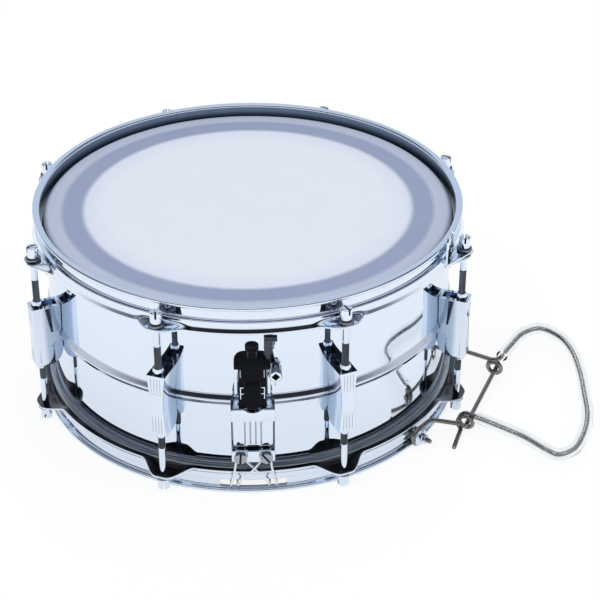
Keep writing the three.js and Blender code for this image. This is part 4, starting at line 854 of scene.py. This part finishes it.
def lug_body():
    scooped = lug_rows()
    rows = [(-z, r) for z, r in reversed(scooped[1:])] + [(z, LUG_BACK) for z, _ in scooped]
    verts = []
    for index, (dz, back) in enumerate(rows):
        z = MID_Z + dz
        ends = min(index, len(rows) - 1 - index)
        inset = 0.45 if ends == 0 else 0.12 if ends == 1 else 0.0
        w = lug_width(z) - inset
        outline = rounded(rectangle(-w, w, back, LUG_FRONT - inset), [0.5, 0.5, 1.1, 1.1])
        verts += [(x, -r, z) for x, r in outline]
    faces = end_faces(len(rows), len(outline)) + open_skin(len(rows), len(outline))
    return verts, faces, [0] * len(faces)


def half_turn(part):
    return moved(part, turned_about((0, 0, MID_Z), 180, "Y"))


LUG_MATERIALS = [CHROME, POCKET_SHADE, THREAD, FLUTE_SHADE, LUG_SIDE_SHADE]


def lug():
    """The lug's cast body, its flutes and dots, and the two swivel nuts."""
    end = MID_Z + LUG_HALF
    bead = bead_profile(SHELL_R + 0.35)
    bead = [(176, BEAD_Z - BEAD_REACH)] + bead + [(176, BEAD_Z + BEAD_REACH)]
    bead = prism(bead, -10, 10, "side", 0, 1, 1)
    # The bore, slot and bead groove are cut in the pocket chrome, painted shade.
    tools = [lathe(rectangle(0, 5.3, end - 12, end + 1), 32, ROD_CIRCLE, 1),
             block(-4.6, 4.6, 180, ROD_CIRCLE, end - 4, end + 1, 0, 1)]
    front = LUG_FRONT + 1
    # Flutes and dots are cut in grey chrome, painted shade.
    for x in (-3.9, -1.3, 1.3, 3.9):
        tools.append(block(x - 0.2, x + 0.2, front - 1.3, front, end - 15.6, end - 2.4, 0, 3))
        tools.append(bar(0.42, front - 1.6, front, 10, x, end - 17.4, 3))
    inner = lug_width(76) - 0.28
    core = block(-inner, inner, 180, 202.6, 64, 89, 0)
    seams = []
    for low, high in ((-9.5, -5.6), (5.6, 9.5)):
        for front, z0 in ((198.9, 65), (204, 87.7)):
            seams.append(cut(block(low, high, 198.6, front, z0, 88, 0, 2), [core], LUG_MATERIALS))
    body = cut(lug_body(), tools + [half_turn(t) for t in tools] + [bead], LUG_MATERIALS)
    body = cut(body, seams, LUG_MATERIALS)
    nut = [(3.4, end - 13), (4.7, end - 13), (4.7, end + 2.5), (3.9, end + 5), (3.4, end + 5)]
    nut = lathe(rounded(nut, [0, 0, 0.8, 0.5, 0.2]), 36, ROD_CIRCLE)
    return [body, nut, half_turn(nut)]


def place_lugs():
    mesh = mesh_of("lug", lug(), LUG_MATERIALS, 30)
    # The side faces take the chrome with shade painted darker towards the shell.
    mesh = recolored(mesh, 4, lambda f: abs(f.normal.x) > 0.8 and f.material_index == 0)
    for i in range(LUGS):
        put(f"cast_lug_{i + 1}", mesh, "drum", f"lug_{i + 1}", FIRST_LUG + LUG_PITCH * i)


place_lugs()


# Strainer
def unmirrored(*what):
    """A piece that the chrome round it doesn't mirror."""
    piece(*what).visible_glossy = False


def strainer_base():
    parts = [block(-14.6, 14.6, 178.1, 181.5, 61, 83.2, 0.7),
             block(-14.6, 14.6, 179.7, 181.5, 83, 94, 0),
             block(-14.6, 14.6, 178.1, 181.5, 93.8, 126.2, 0.7)]
    for x0, x1, top in ((-14.6, -11.6, 134.6), (11.6, 14.6, 125.3)):
        parts.append(block(x0, x1, 180.5, 198, 108, top, 0.9, 0, 3))
    ear = [(12.4, 122.6), (23.5, 122.6), (23.5, 133.5), (20.6, 136.6), (15.1, 136.6),
           (15.1, 126.2), (12.4, 126.2)]
    parts.append(prism(rounded(ear, 0.9, 3), 187.7, 191.7, "front", 0.5))
    gusset = [(16.2, 123.2), (21.6, 123.2), (21.2, 112.5), (18.6, 111.2), (17.6, 112.5)]
    parts.append(prism(rounded(gusset, 0.8, 3), 188.2, 191.2, "front", 0.4))
    unmirrored("strainer_frame", "drum", "strainer_base", "chrome", parts, [CHROME], 32)


def strainer_housing():
    """The black body with its cap, slots and pins, hollow for the slide, hub and screw."""
    shares = [k / 12 for k in range(13)]
    shoulder = [(14.6 - 8.5 * t * t, 196 - 14.2 * (2 * t - t * t)) for t in shares]
    plan = [(-14.6, STRAINER_FRONT), (14.6, STRAINER_FRONT)] + shoulder
    cap = prism(plan + [(-x, r) for x, r in shoulder[::-1]], 135, 139.8, "top", 0.9, 3)
    body = block(-11.3, 11.3, 181.8, STRAINER_FRONT - 0.2, 93, 137, 0.6, 0, 3)
    body = cut(body, [cap], [BLACK, CHROME], "UNION")
    tools = [block(-6.9, 6.9, 195.7, 205, 91, 122.3, 0),
             block(9.3, 15.6, 191.7, 194.9, 125.5, 141, 0),
             bar(5.7, 191.7, 205, 32, LEVER_X, LEVER_Z),
             lathe(rectangle(0, 2.9, 90, 141), 24, KNOB_AXIS)]
    parts = [cut(body, tools, [BLACK, CHROME])]
    for side in (-1, 1):
        x = side * 9.5
        # The upper pins take the flutes' grey chrome, which paints shade.
        parts.append(block(x - 0.4, x + 0.4, 202.4, 203.1, 127.4, 134.6, 0.2, 2))
        parts.append(block(x - 0.4, x + 0.4, 202.6, 203.3, 107.1, 118.4, 0.2, 1))
        for z in (112.1, 117.9):
            x0, x1 = sorted((x, side * 6.9))
            parts.append(block(x0, x1, 202.6, 203.3, z - 0.4, z + 0.4, 0.2, 1))
    unmirrored("strainer_cover", "drum", "strainer_housing", "black_parts", parts,
               [BLACK, CHROME, FLUTE_SHADE], 30)


def tension_knob():
    base = 140.1
    neck = rounded([(0, base), (3.9, base), (3.9, base + 5.0), (5.0, base + 7.7), (0, base + 7.7)],
                   [0, 0.4, 1.2, 0.3, 0], 4, False)
    rim = rounded([(0, base + 7.5), (5.5, base + 7.5), (5.5, base + 12.1), (4.4, base + 11.6),
                   (0, base + 11.4)], [0, 0.5, 0.6, 0.4, 0], 4, False)
    verts, faces, mats = lathe(rim, 96, KNOB_AXIS)
    grooved = []
    for x, y, z in verts:
        out = y + KNOB_AXIS
        on_side = hypot(x, out) > 4.6 and z < base + 11.5
        k = 1 - 0.07 * max(0, cos(24 * atan2(out, x))) if on_side else 1
        grooved.append((x * k, out * k - KNOB_AXIS, z))
    knob = [lathe(neck, 64, KNOB_AXIS), (grooved, faces, mats)]
    unmirrored("fine_knob", "knob", "tension_knob", "black_parts", knob, [BLACK], 40)
    profile = [(0, 95.8), (1.8, 95.8)] + thread(2.2, 96, 124)
    profile += [(2.2, 124.5), (2.2, 139.8), (0, 139.8)]
    screw = [lathe(profile, 20, KNOB_AXIS)]
    unmirrored("fine_screw", "knob", "tension_screw", "steel_wire", screw, [THREAD], 40)


def release_slide():
    foot = arc(SLIDE_HALF, [pi + pi * k / 20 for k in range(21)], 0, SLIDE_Z)
    outline = [(-SLIDE_HALF, 122)] + foot + [(SLIDE_HALF, 122)]
    body = prism(outline, 196, 205.4, "front", 1.6, 5)
    grooves = [block(x - 0.28, x + 0.28, 204.7, 206, 101 + 0.14 * x * x, 117, 0)
               for x in (-3.6, -1.2, 1.2, 3.6)]
    body = cut(body, grooves, [BLACK])
    piece("slide_block", "slide", "release_slide", "black_parts", [body], [BLACK], 30)


def lever_arm():
    plate = [(12.2, 136.7), (13.4, 129), (18.5, 126.5), (23.6, 131.6), (18.5, 136.7), (16.4, 147.6),
             (16.4, 159.4), (9.6, 159.4), (9.6, 147.6)]
    plate = rounded(plate, [0.6, 2, 3.4, 3.4, 1.2, 1.5, 0.3, 0.3, 1.5], 5)
    arm = cut(prism(plate, 192, 194.6, "front", 0.5, 3), [bar(2.5, 190, 197, 24, LEVER_X, LEVER_Z)],
              [ARM_STEEL])
    hook = [(192, 158.2), (192, 160.2), (193.2, 161.4), (197, 161.4), (199.6, 160.4),
            (199.6, 158.8), (198.6, 158.8), (196.8, 159.4), (194.6, 159.0), (194.6, 158.2)]
    curl = prism(rounded(hook, 0.7), 9.6, 20.1, "side", 0.5, 3)
    bands = [block(9.45, 16.55, 191.85, 194.75, z, z + 1.0, 0.3) for z in (149.2, 143.0)]
    unmirrored("lever_arm", "lever", "throw_off_lever", "chrome", [arm, curl] + bands,
               [ARM_STEEL], 32)


def lever_hub():
    """The lever's round hub with its square socket, and the pin behind it."""
    back, front = 194.9, 208.9
    barrel = rounded(rectangle(0, 5.1, back, front), [0, 0.4, 1.0, 0], 4, False)
    corners = [pi * k / 2 for k in range(4)]
    well = prism(arc(2.5 * sqrt(2), corners, LEVER_X, LEVER_Z), front - 6, front + 1,
                 "front", 0, 1, 1)
    pin = bar(2.2, 187.7, back + 1, 24, LEVER_X, LEVER_Z)
    hub = cut(outward(barrel, 48, LEVER_X, LEVER_Z), [well], [LEVER_SHADE, HOLLOW_SHADE])
    mesh = mesh_of("lever_barrel", [hub, pin], [LEVER_SHADE, HOLLOW_SHADE, CHROME], 30)
    # Faces that look straight out stay bright chrome; the hub's other faces keep the darker steel,
    # painted shade and dark reflection; the socket is near black, painted shade.
    mesh = recolored(mesh, 2, lambda f: f.normal.y < -0.95 and f.material_index == 0)
    put("lever_barrel", mesh, "lever", "lever_hub")


def carriage():
    """The tray: its lip with a cradle for the slide, its fluted plate and the clamp's tail."""
    parts = [block(-18, 18, 184.5, 204, 86, 88.4, 0.5)]
    reach = asin(6.75 / 8.9)
    cradle = [(8.9 * sin(a), SLIDE_Z - 8.9 * cos(a))
              for a in (reach * (1 - k / 12) for k in range(25))]
    lip = rounded([(-18, 95.8), (-18, 86), (18, 86), (18, 95.8)], [0, 6.5, 6.5, 0], 6, closed=False)
    lip += [(17.4, 97.4), (15.8, 98)] + cradle + [(-15.8, 98), (-17.4, 97.4)]
    parts.append(prism(lip, 203, 205.4, "front", 0.7, 3))
    for x0, x1 in ((-18, -15.6), (15.6, 18)):
        parts.append(block(x0, x1, 184.5, 205.2, 86, 95, 0.8, 0, 3))
    plate = rounded([(-16.4, 86.5), (-16.4, 54), (16.4, 54), (16.4, 86.5)], [0, 4, 4, 0], 6)
    flutes = [rounded(rectangle(x - 0.7, x + 0.7, 57, 82), 0.68) for x in (-6.6, -2.2, 2.2, 6.6)]
    flutes = [prism(outline, 194.2, 196, "front", 0, 1, 1) for outline in flutes]
    # The flutes are cut in grey chrome, painted shade.
    parts.append(cut(prism(plate, 191.6, 195, "front", 1.1, 4), flutes, [CHROME, FLUTE_SHADE]))
    parts.append(block(-6, 6, 181.8, 192, 58, 87, 0.4))
    # The clamp's tail and the plate's side walls are dark chrome: a painted shadow gap and dark
    # outlines.
    parts.append(block(-CLAMP_HALF, CLAMP_HALF, 190, 192, CLAMP_Z, 58, 0.4, 2))
    parts += [block(x - 0.6, x + 0.6, 186, 193.2, 55, 87, 0.3, 2) for x in (-17.2, 17.2)]
    piece("snare_tray", "carriage", "snare_carriage", "chrome", parts,
          [CHROME, FLUTE_SHADE, DARK_SHADE_CHROME], 30)


def clamp(end, degrees, body):
    parts = [block(-CLAMP_HALF, CLAMP_HALF, 194.5, 198.5, CLAMP_Z, 52, 0.8, 0, 3),
             block(-5.1, 5.1, 195, 199.5, CLAMP_Z, 52, 0.6)]
    piece(f"{end}_clamp", body, f"{end}_cord_clamp", "chrome", parts, [CHROME], 30, degrees)
    profile = rounded(rectangle(0, 5.2, 198.8, 202.8), [0, 0.4, 1.1, 0], 4, False)
    for (word, side), turn in zip(SIDES, (4, -38)):
        x = side * 10.6
        # The slot is cut in near black, painted shade.
        slot = moved(block(x - 0.9, x + 0.9, 201.2, 204, 40, 54, 0, 1),
                     turned_about((x, 0, SCREW_Z), turn, "Y"))
        head = cut(outward(profile, 40, x, SCREW_Z), [slot], [HEAD_STEEL, HOLLOW_SHADE])
        piece(f"{end}_screw_{word}", body, f"{end}_clamp_screw_{word}", "chrome",
              [head, bar(1.9, 190, 199, 20, x, SCREW_Z)], [HEAD_STEEL, HOLLOW_SHADE], 30, degrees)


def butt_bracket():
    plate = rounded(rectangle(-20, 20, 58, 80), [0.5, 0.5, 3, 3], 5)
    parts = [prism(plate, 178.1, 180.7, "front", 0.5),
             block(-CLAMP_HALF, CLAMP_HALF, 178.1, 192, 58, 60.6, 0.6),
             block(-CLAMP_HALF, CLAMP_HALF, 190, 192, CLAMP_Z, 60.4, 0.5)]
    profile = [(0, 180.4), (3.4, 180.4), (3.2, 182.4), (0, 183)]
    profile = rounded(profile, [0, 0.3, 0.6, 0], 4, False)
    for x in (-12.5, 12.5):
        # Each screw's slot is cut in near black, painted shade.
        slot = block(x - 3, x + 3, 182, 184, 70.5, 71.5, 0, 1)
        parts.append(cut(outward(profile, 32, x, 71), [slot], [CHROME, HOLLOW_SHADE]))
    piece("butt_plate", "drum", "butt_bracket", "chrome", parts, [CHROME, HOLLOW_SHADE], 30, 180)


strainer_base()
strainer_housing()
tension_knob()
release_slide()
lever_arm()
lever_hub()
carriage()
clamp("front", 0, "carriage")
clamp("rear", 180, "drum")
butt_bracket()


# Snares
def snares():
    z = 7.45
    parts = []
    for side in (-1, 1):
        y0, y1 = sorted((side * 146.5, side * 159.5))
        s0, s1 = sorted((side * 151.1, side * 161))
        plate = rounded(rectangle(-21.55, 21.55, y0, y1), 1.2)
        plate = prism(plate, z - 0.6, z + 0.6, "top", 0.25)
        slots = [prism(rectangle(x - 1.3, x + 1.3, s0, s1), z - 2, z + 2, "top", 0)
                 for x in (-19, -13.6, 13.6, 19)]
        parts.append(cut(plate, slots, [SNARE_STEEL]))
    turns, per, strands, coil_r = 170, 7, 12, 0.62
    for i in range(strands):
        x = (i - 5.5) * 3.4
        points = []
        for k in range(turns * per + 1):
            a = 2 * pi * k / per + i
            points.append((x + coil_r * cos(a), -150 + 300 * k / (turns * per),
                           z + coil_r * sin(a)))
        parts.append(tube(points, 0.22, 4))
    piece("snare_strands", "drum", "snare_wires", "snare_steel", parts, [SNARE_STEEL], 50,
          weld=False, flip=False)


snares()


# Leg rest
LEG_TURN = 66.7
WIRE_R = 2
BAR_R, BAR_Z = 214.5, 8.8
BAR_ENDS = (-28.2, 79)
COIL_R, COIL_TURN_R, COIL_PITCH = 212.6, 6.4, 4.7
LOOP_STARTS = (-17.4, 73.6)
LOOP_REACH = 101.0
LOOP_SHARES = [
    (-0.238, 0.33), (-0.287, 0.54), (-0.386, 0.77), (-0.406, 0.87), (-0.287, 0.97), (-0.059, 1),
    (0.238, 0.97), (0.574, 0.86), (0.871, 0.75), (1.188, 0.59), (1.356, 0.43), (1.406, 0.24),
    (1.267, 0.12), (1.02, 0.065), (0.842, 0.04), (0.772, 0.03),
]
BOLT_ANGLES = (-17.7, 26.8)
BOLT_CIRCLE, BOLT_Z, BOLT_SEAT, EYE_R = 189.6, 9.6, 191.9, 7


def bolt_eye(degrees, side, run):
    """The bracket's eye round a bolt, and the point to which its wire runs straight on."""
    a = radians(degrees)
    centre = Vector((BOLT_CIRCLE * sin(a), -BOLT_CIRCLE * cos(a), BOLT_Z))
    along = Vector((side * cos(a), side * sin(a), 0))
    points = []
    for i in range(41):
        t = radians(280 * (i / 40 - 1))
        points.append(centre + along * (EYE_R * sin(t)) + Vector((0, 0, EYE_R * cos(t))))
    return points, points[-1] + along * run


def bent(corners, bend, steps=8):
    """A run of straights with its corners bent round."""
    points = [corners[0]]
    for a, p, b in zip(corners, corners[1:], corners[2:]):
        before, after = a - p, b - p
        reach = min(bend, before.length / 2, after.length / 2)
        start, end = p + before.normalized() * reach, p + after.normalized() * reach
        points += corner_curve(start, p, end, steps)
    return points + [corners[-1]]


def bar_coil(x, degrees):
    """The loop's wire wound round the bracket's bar."""
    steps = int(degrees / 10)
    return [Vector((x - COIL_PITCH * d / 360, COIL_TURN_R * sin(radians(d)) - COIL_R,
                    BAR_Z + COIL_TURN_R * cos(radians(d))))
            for d in (degrees * i / steps for i in range(steps + 1))]


def loop_curve():
    top = BAR_Z + COIL_TURN_R
    first, last = ((x, -COIL_R, top) for x in LOOP_STARTS)
    knots = [(a * LOOP_REACH, -(COIL_R + out * LOOP_REACH), top + (10 - top) * out)
             for a, out in LOOP_SHARES]
    return smooth_path([first] + knots + [last], 12)


def trimmed(points, length):
    """The run without its first stretch of that length."""
    left = length
    for i, (a, b) in enumerate(zip(points, points[1:])):
        if (b - a).length > left:
            return [a.lerp(b, left / (b - a).length)] + points[i + 1:]
        left -= (b - a).length
    return points


def leg_rest():
    (one, run_one), (two, run_two) = (
        bolt_eye(angle, side, run) for angle, side, run in zip(BOLT_ANGLES, (1, -1), (18.5, 10)))
    arm_one, arm_two = ([Vector((x, -210, 10.4)), Vector((x, -BAR_R, BAR_Z))] for x in BAR_ENDS)
    corners = [one[-1], run_one] + arm_one + arm_two[::-1] + [run_two, two[-1]]
    points = one[:-1] + bent(corners, 5) + two[:-1][::-1]
    piece("leg_bar", "drum", "leg_rest_bracket", "steel_wire", [capped(points, WIRE_R)], [WIRE], 40,
          LEG_TURN)
    coil = bar_coil(LOOP_STARTS[0], 515)[::-1]
    start = coil[0] - Vector((2, 0, 0))
    tail = start + Vector((-28, -2.4, 0))
    run = [tail, tail.lerp(start, 0.9), start] + coil[1:] + loop_curve()[1:]
    run += bar_coil(LOOP_STARTS[1], 405)[1:]
    piece("leg_wire", "leg_loop", "leg_rest_loop", "steel_wire", [capped(run, WIRE_R)], [WIRE], 40,
          LEG_TURN)
    way = trimmed(trimmed(loop_curve(), 9)[::-1], 9)
    outer = tube(way, [5.0] + [5.3] * (len(way) - 2) + [5.0], 24, ends=False)
    verts, faces, mats = tube(way, 2.6, 16, ends=False)
    bore = verts, [face[::-1] for face in faces], mats
    piece("leg_tube", "leg_loop", "leg_rest_sleeve", "clear_vinyl", [outer, bore], [VINYL], 50,
          LEG_TURN, weld=False, flip=False)


def bolts():
    seat = BOLT_SEAT
    profile = [(0, seat), (7.5, seat), (7.5, seat + 1.4), (4.6, seat + 1.9), (0, seat + 1.9)]
    collar = outward(rounded(profile, [0, 0.3, 0.5, 0.6, 0], 3, False), 40, 0, BOLT_Z)
    hexagon = arc(4.6, [pi * k / 3 for k in range(6)], 0, BOLT_Z)
    nut = prism(hexagon, seat + 0.5, seat + 6.4, "front", 0.5, 2)
    shank = outward([(0, 180.9), (2.2, 180.9)] + thread(2.2, 183.4, seat + 10.4) +
                    [(1.7, seat + 11.4), (0, seat + 11.4)], 20, 0, BOLT_Z, 1)
    spacer = outward(rounded(rectangle(2.6, 3.7, 183.4, 187.3), 0.4, 3), 32, 0, BOLT_Z)
    for i, angle in enumerate(BOLT_ANGLES, 1):
        piece(f"leg_bolt_{i}", "drum", f"leg_rest_bolt_{i}", "chrome", [collar, nut, shank],
              [CHROME, THREAD], 30, LEG_TURN + angle)
        piece(f"leg_spacer_{i}", "drum", f"leg_rest_spacer_{i}", "washer_grey", [spacer],
              [WASHER], 30, LEG_TURN + angle)


leg_rest()
bolts()


# Hook bracket
def hook_bracket():
    foot, inner, steel = 164.8, 188.3, 1.8
    plan = [(-30, inner), (-30, inner + steel), (-6.5, 200.9), (-1.8, 202.7), (1.8, 202.7),
            (6.5, 200.9), (6.5, inner + steel), (1.8, inner)]
    base = prism(rounded(plan, 0.8, 3), foot, foot + steel, "top", 0.4)
    shoulder = foot + 19.4
    face = [(-30, foot), (-12, foot), (-12, shoulder)]
    face += arc(9, [pi * k / 20 for k in range(1, 20)], -21, shoulder) + [(-30, shoulder)]
    holes = [bar(2.6, 186, 192, 24, -18.5, foot + h) for h in (10.8, 22)]
    upright = cut(prism(face, inner, inner + steel, "front", 0.5, 3), holes, [CHROME])
    middle = -inner - steel / 2
    fold = tube([(-30, middle, foot + 1.2), (-12, middle, foot + 1.2)], 0.9, 12)
    eye = lathe(rectangle(0, 3.8, foot - 1, foot + 3), 28, ROD_CIRCLE)
    piece("hook_plate", "drum", "hook_bracket", "chrome",
          [cut(base, [eye], [CHROME]), upright, fold], [CHROME], 32, FIRST_LUG + LUG_PITCH)


hook_bracket()


# Floor, world and lamps
def floor():
    """A pale disc that the camera, glass and half of the gloss see as white, with its shadow."""
    mesh = bpy.data.meshes.new("floor")
    bm = bmesh.new()
    bmesh.ops.create_circle(bm, cap_ends=True, radius=6.0, segments=96)
    bm.to_mesh(mesh)
    bm.free()
    o = linked("floor", mesh)
    o.location.z = -FACE_Z * MM - 0.0002
    material = bpy.data.materials.new("floor")
    g = empty_graph(material)
    diffuse = g.add("BsdfDiffuse", Color=(0.93, 0.94, 0.96))
    glow = g.add("Emission", Strength=1.03)
    rays = g.add("LightPath").outputs
    shares = {"Is Camera Ray": 0.84, "Is Glossy Ray": 0.5, "Is Transmission Ray": 0.84}
    seen = g.largest([g.math("MULTIPLY", rays[kind], share) for kind, share in shares.items()])
    g.add("OutputMaterial", Surface=g.shader_mix(seen, diffuse.outputs[0], glow.outputs[0]))
    mesh.materials.append(material)


def world():
    """White to the camera; gloss sees white low down, a dark band and a pale ceiling."""
    w = bpy.data.worlds.new("studio")
    scene.world = w
    g = empty_graph(w)
    x, y, z = g.split(g.add("TexCoord").outputs["Generated"])
    light = g.ramp(z, [
        (0.0, (1, 1, 1)), (0.09, (1, 1, 1)), (0.17, (0.6, 0.61, 0.63)), (0.25, (0.05, 0.052, 0.06)),
        (0.42, (0.01, 0.011, 0.014)), (0.64, (0.012, 0.013, 0.016)), (0.76, (0.12, 0.13, 0.15)),
        (0.88, (0.75, 0.77, 0.8)), (1.0, (0.85, 0.87, 0.9)),
    ])
    sides = g.ramp(g.math("ABSOLUTE", x), [(0.72, (0, 0, 0)), (0.97, (0.3, 0.33, 0.37))])
    light = g.mix(1.0, light, sides, "LIGHTEN")
    behind = g.ramp(y, [(0.55, (0, 0, 0)), (0.72, (0.6, 0.67, 0.78))])
    light = g.mix(1.0, light, behind, "LIGHTEN")
    rays = g.add("LightPath").outputs
    direct = g.largest([rays["Is Camera Ray"], rays["Is Transmission Ray"]])
    soft = g.background((0.97, 0.98, 1), 0.62)
    first = g.shader_mix(rays["Is Glossy Ray"], soft, g.background(light))
    g.add("OutputWorld", Surface=g.shader_mix(direct, first, g.background((1, 1, 1))))


def lamp(name, place, size, energy):
    """A soft disc lamp aimed at the drum's head, not itself mirrored."""
    data = bpy.data.lights.new(name, "AREA")
    data.shape, data.size, data.energy = "DISK", size, energy
    data.color = (1.0, 0.985, 0.97)
    o = linked(name, data)
    o.location = place
    o.rotation_euler = (-Vector(place)).to_track_quat("-Z", "Y").to_euler()
    o.visible_glossy = False


floor()
world()
lamp("key", (-1.1, -1.5, 2.0), 1.4, 22)
lamp("fill", (1.6, -0.9, 1.5), 1.6, 12)
lamp("back", (0.2, 1.8, 1.6), 1.6, 12)
